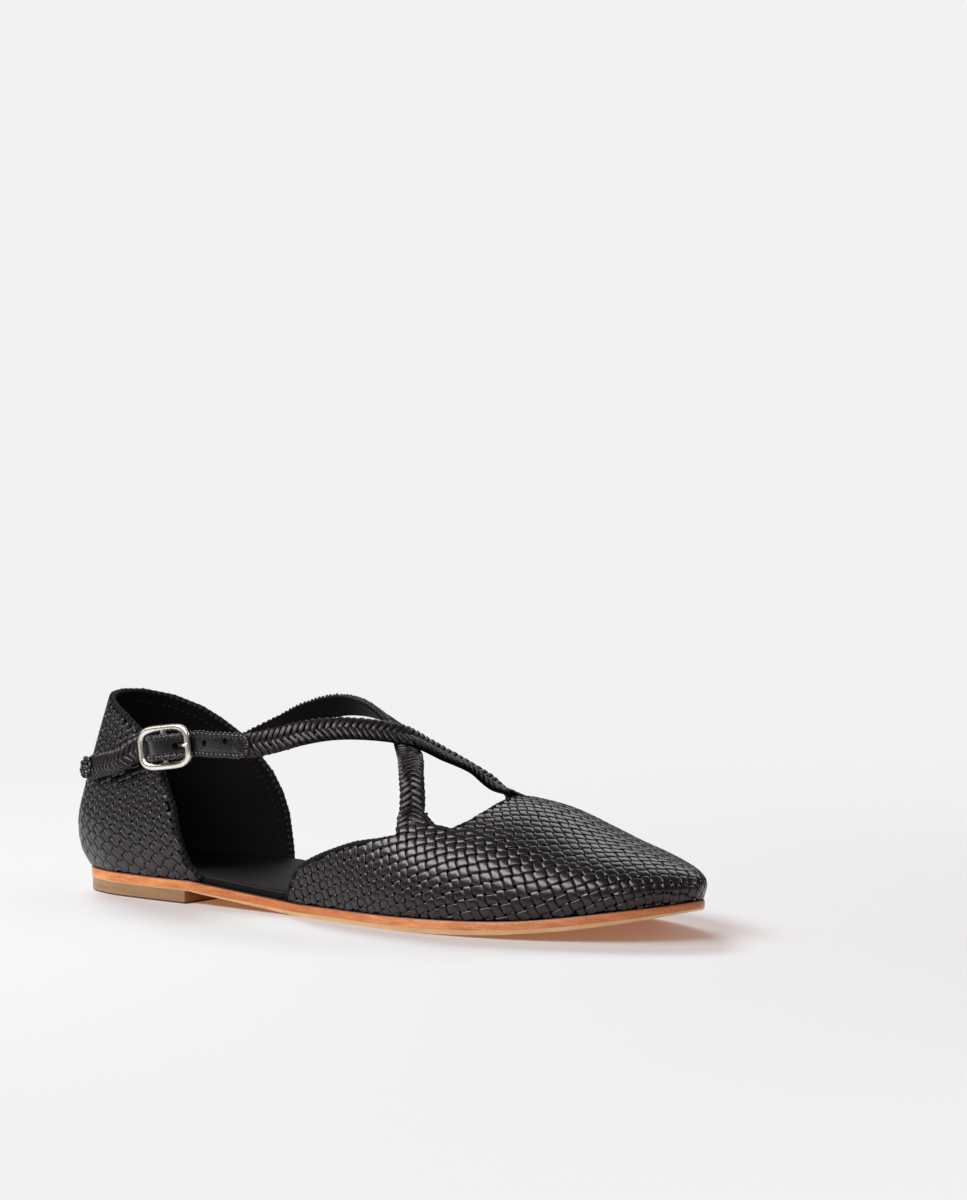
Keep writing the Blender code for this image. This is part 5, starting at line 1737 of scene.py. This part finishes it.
# stacked rings of inset, height and band, closed above and below by a grid across
def plateBody(name, stations, rings, openFront, material, top=None):
    lastInner = len(stations) - (1 if openFront else 2)
    points = []
    bands = []
    loops = []
    for inset, height, band in rings:
        insets = inset(stations) + 0 * stations
        outer, inner = (np.stack([*edgePoint(side, lengthAt(side, stations), insets)[:2],
                                  height(stations) + 0 * stations], 1) for side in (-1, 1))
        ring = [tuple(spot) for spot in np.concatenate([outer, inner[lastInner:0:-1]])]
        loops.append(list(range(len(points), len(points) + len(ring))))
        points.extend(ring)
        bands.extend([band] * len(ring))
    count = len(loops[0])
    faces = bandFaces(loops)
    for loop, swell in ((loops[0], top), (loops[-1], None)):
        rows = []
        for index, station in enumerate(stations):
            one = loop[index]
            other = loop[-index % count] if index <= lastInner else one
            row = [one]
            if one != other:
                for share in np.linspace(0, 1, lidSteps)[1:-1]:
                    spot = np.array(points[one]) * (1 - share) + np.array(points[other]) * share
                    if swell:
                        spot[2] += swell(station, share)
                    row.append(len(points))
                    points.append(tuple(spot))
                    bands.append(bands[one])
            rows.append(row + [other])
        for row, following in zip(rows, rows[1:]):
            if len(row) == 2:
                row = row[:1] * len(following)
            if len(following) == 2:
                following = following[:1] * len(row)
            kept = [tuple(dict.fromkeys(corners)) for corners in bandFaces([row, following], False)]
            faces.extend(corners for corners in kept if len(corners) > 2)
    return makePiece(name, points, faces, material, {"band": bands}, sharp=48)


# stations of a plate with further ones that must be met
def plateStations(count, *further):
    return np.unique(np.round(np.concatenate([spaced(0.0, soleShape["length"], count), further]), 3))


# inward and downward share of each step round an edge
def edgeSteps(bend, turns):
    return [(bend * (1 - math.sin(turn * quarterTurn)), bend * (1 - math.cos(turn * quarterTurn)))
            for turn in turns]


def makeOutsole():
    bend = soleShape["edgeRound"]
    slope = soleShape["bevelSlope"]
    rings = [(lambda x: bend + 0.5, soleTop, -1.0), (lambda x: bend, soleTop, -1.0)]
    for (inward, drop), band in zip(edgeSteps(bend, (0.35, 0.7, 1.0)), (-1.0, -0.6, 0.0)):
        rings.append((lambda x, i=inward: i, lambda x, d=drop: soleTop(x) - d, band))
    for share in (0.5, 0.08, 0.0):
        rings.append((lambda x: 0.0, lambda x, s=share: (underAt(x) + bevelAt(x)) * (1 - s)
                      + (soleTop(x) - bend) * s, 0.0))
    for share, band in ((0.06, 1.0), (0.5, 1.0), (0.9, 1.0), (1.0, 1.4)):
        rings.append((lambda x, s=share: bevelAt(x) * slope * s,
                      lambda x, s=share: underAt(x) + bevelAt(x) * (1 - s), band))
    rings.append((lambda x: bevelAt(x) * slope + 0.5, underAt, 2.0))
    stations = plateStations(soleShape["steps"], soleShape["waistStart"])
    return plateBody("sole_leather", stations, rings, False, makeSoleLeather())


# rows: share of the height and band value of the wall, then inward place and height of the worn foot
heelShape = {"front": 58.0, "inset": 0.3, "topRoom": 0.05, "lid": 0.4, "steps": 60,
             "wall": ((1.0, 0.0), (0.7, 0.0), (0.35, 0.0), (0.15, 0.0), (0.13, 1.0)),
             "foot": ((0.2, 0.25), (0.55, 0.05), (1.0, 0.0))}


def makeHeel():
    inset = heelShape["inset"]
    top = soleShape["heelRise"] - heelShape["topRoom"]
    stations = heelShape["front"] * (1 - np.cos(np.linspace(0, quarterTurn, heelShape["steps"])))
    rings = [(lambda x: inset + heelShape["lid"], lambda x: top, 0.0)]
    for level, band in heelShape["wall"]:
        rings.append((lambda x: inset, lambda x, s=level: top * s, band))
    for inward, level in heelShape["foot"]:
        rings.append((lambda x, i=inward: inset + i, lambda x, z=level: z, 1.0))
    return plateBody("heel_stack_block", stations, rings, True, makeHeelStack())


# the dish fades out towards the heel and the toe
insoleShape = {"thick": 2.5, "round": 1.0, "dish": 0.7, "dishCurve": 0.7, "steps": 130, "under": 0.3,
               "sink": 0.02,
               "inset": ((0, 3.3), (60.5, 3.3), (65, 1.2), (99.5, 1.2), (103, 3.3), (247, 3.3))}


def makeInsole():
    bend = insoleShape["round"]
    under = insoleShape["under"]
    base = upperShape["fitGap"]

    def inset(x):
        return np.interp(x, column(insoleShape["inset"], 0), column(insoleShape["inset"], 1))

    def lid(x):
        return soleTop(x) + base + insoleShape["thick"]

    def dish(x, share):
        fade = min(1.0, (x + 4) / 14) * min(1.0, (250 - x) / 25)
        return -insoleShape["dish"] * math.sin(math.pi * share) ** insoleShape["dishCurve"] * fade

    rings = [(lambda x: inset(x) + bend * 1.5, lid, 0.0)]
    for inward, drop in edgeSteps(bend, (0.0, 0.3, 0.6, 1.0)):
        rings.append((lambda x, i=inward: inset(x) + i, lambda x, d=drop: lid(x) - d, 0.0))
    rings.append((inset, lambda x: soleTop(x) + base + under, 0.0))
    rings.append((lambda x: inset(x) + under, lambda x: soleTop(x) + insoleShape["sink"], 0.0))
    stations = plateStations(insoleShape["steps"], *column(insoleShape["inset"], 0)[1:-1])
    return plateBody("insole_leather", stations, rings, False, leathers["insoleLeather"], top=dish)


seat(makeOutsole(), "sole_leather", "outsole")
seat(makeHeel(), "heel_stack", "heel_block")
seat(makeInsole(), "lining", "insole")

# Camera, floor and light
view = {"azimuth": 37.583, "elevation": 4.45, "distance": 2000.0, "focalPixels": 6166.0, "imageWide": 967.0,
        "target": (160.879, 0.0, 104.35), "sensor": 36.0, "farthest": 50.0}


def makeCamera():
    turn = math.radians(view["azimuth"])
    rise = math.radians(view["elevation"])
    back = Vector((math.sin(turn) * math.cos(rise), -math.cos(turn) * math.cos(rise), math.sin(rise)))
    data = bpy.data.cameras.new("photo_camera")
    data.sensor_fit = "HORIZONTAL"
    data.sensor_width = view["sensor"]
    data.lens = view["focalPixels"] * view["sensor"] / view["imageWide"]
    data.clip_end = view["farthest"]
    camera = newObject("photo_camera", data)
    camera.location = Vector(toWorld(view["target"])) + back * view["distance"] * mm
    camera.rotation_euler = (-back).to_track_quat("-Z", "Y").to_euler()
    bpy.context.scene.camera = camera


# near: warm glow painted into the floor round the shoe, the colour of its painted shadow; tint: cool floor
# colour that makes the lit floor neutral again
stageLook = {"near": (0.22, 0.075, 0.025), "far": 0.885, "reach": (1.3, 0.6), "tint": (0.415, 0.508, 0.54),
             "fill": 0.04, "size": 8.0, "rough": 0.9, "lamp": (1.0, 0.985, 0.99),
             "lampTarget": (0.02, 0.0, 0.03)}
black = (0.0, 0.0, 0.0)


def fromCamera(tree):
    return flow(tree, "ShaderNodeLightPath", None, "Is Camera Ray")


# pale floor that keeps its tone into the distance; near the shoe it glows a warm painted shadow tone that
# shows wherever the lamps are blocked, over a cool base colour that brings the lit floor back to neutral
def makeFloor():
    material, tree, shader = startMaterial("paleFloorWithPaintedShadow")
    away = objectPlace(tree).reckon("LENGTH", out=1)
    seen = fromCamera(tree)
    reach = seen.spread(*stageLook["reach"])
    share = away.spread(0.0, 1.0, 0.0, reach, interpolation_type="SMOOTHSTEP")
    distant = seen.mix(black, (stageLook["far"],) * 3)
    fillInputs(tree, shader, {
        # warm painted shadow glow near the shoe, fading into the even pale floor further out
        "Emission Color": share.mix(stageLook["near"], distant), "Emission Strength": 1.0,
        "Base Color": share.mix(stageLook["tint"], black), "Roughness": stageLook["rough"],
        "Specular IOR Level": 0.0,
    })
    size = stageLook["size"]
    mesh = bpy.data.meshes.new("floor")
    corners = [(-size, -size, 0), (size, -size, 0), (size, size, 0), (-size, size, 0)]
    mesh.from_pydata(corners, [], [(0, 1, 2, 3)])
    mesh.materials.append(material)
    newObject("floor", mesh)


# direction from the shoe, distance, size and power of each softbox; without gloss it is not reflected
lights = {
    "outerSoftbox": {"toward": (-0.24, -0.65, 0.72), "away": 1.2, "size": (1.6, 0.46), "power": 20.0},
    "backSoftbox": {"toward": (-0.3, 0.75, 0.66), "away": 1.6, "size": (1.4, 0.7), "power": 6.0},
    "floorSoftbox": {"toward": (-0.68, 0.46, 0.56), "away": 3.2, "size": (1.1, 0.7), "power": 110.0,
                     "gloss": False},
    "toeSoftbox": {"toward": (0.75, 0.45, 0.5), "away": 1.5, "size": (0.5, 0.5), "power": 3.0},
    "heelSoftbox": {"toward": (-0.9, -0.35, 0.35), "away": 1.4, "size": (0.2, 0.5), "power": 0.8},
}


def makeLights():
    for name, look in lights.items():
        data = bpy.data.lights.new(name, "AREA")
        data.shape = "RECTANGLE"
        data.size, data.size_y = look["size"]
        data.energy = look["power"]
        data.color = stageLook["lamp"]
        light = newObject(name, data)
        light.visible_glossy = look.get("gloss", True)
        toward = Vector(look["toward"]).normalized()
        light.location = Vector(stageLook["lampTarget"]) + toward * look["away"]
        light.rotation_euler = toward.to_track_quat("Z", "Y").to_euler()
    world = bpy.data.worlds.new("studio")
    world.use_nodes = True
    tree = world.node_tree
    colour = fromCamera(tree).mix((stageLook["fill"],) * 3, (stageLook["far"],) * 3)
    fillInputs(tree, tree.nodes["Background"], {"Color": colour})
    bpy.context.scene.world = world
    bpy.context.scene.view_settings.view_transform = "Standard"


makeCamera()
makeFloor()
makeLights()
print("stage ready")
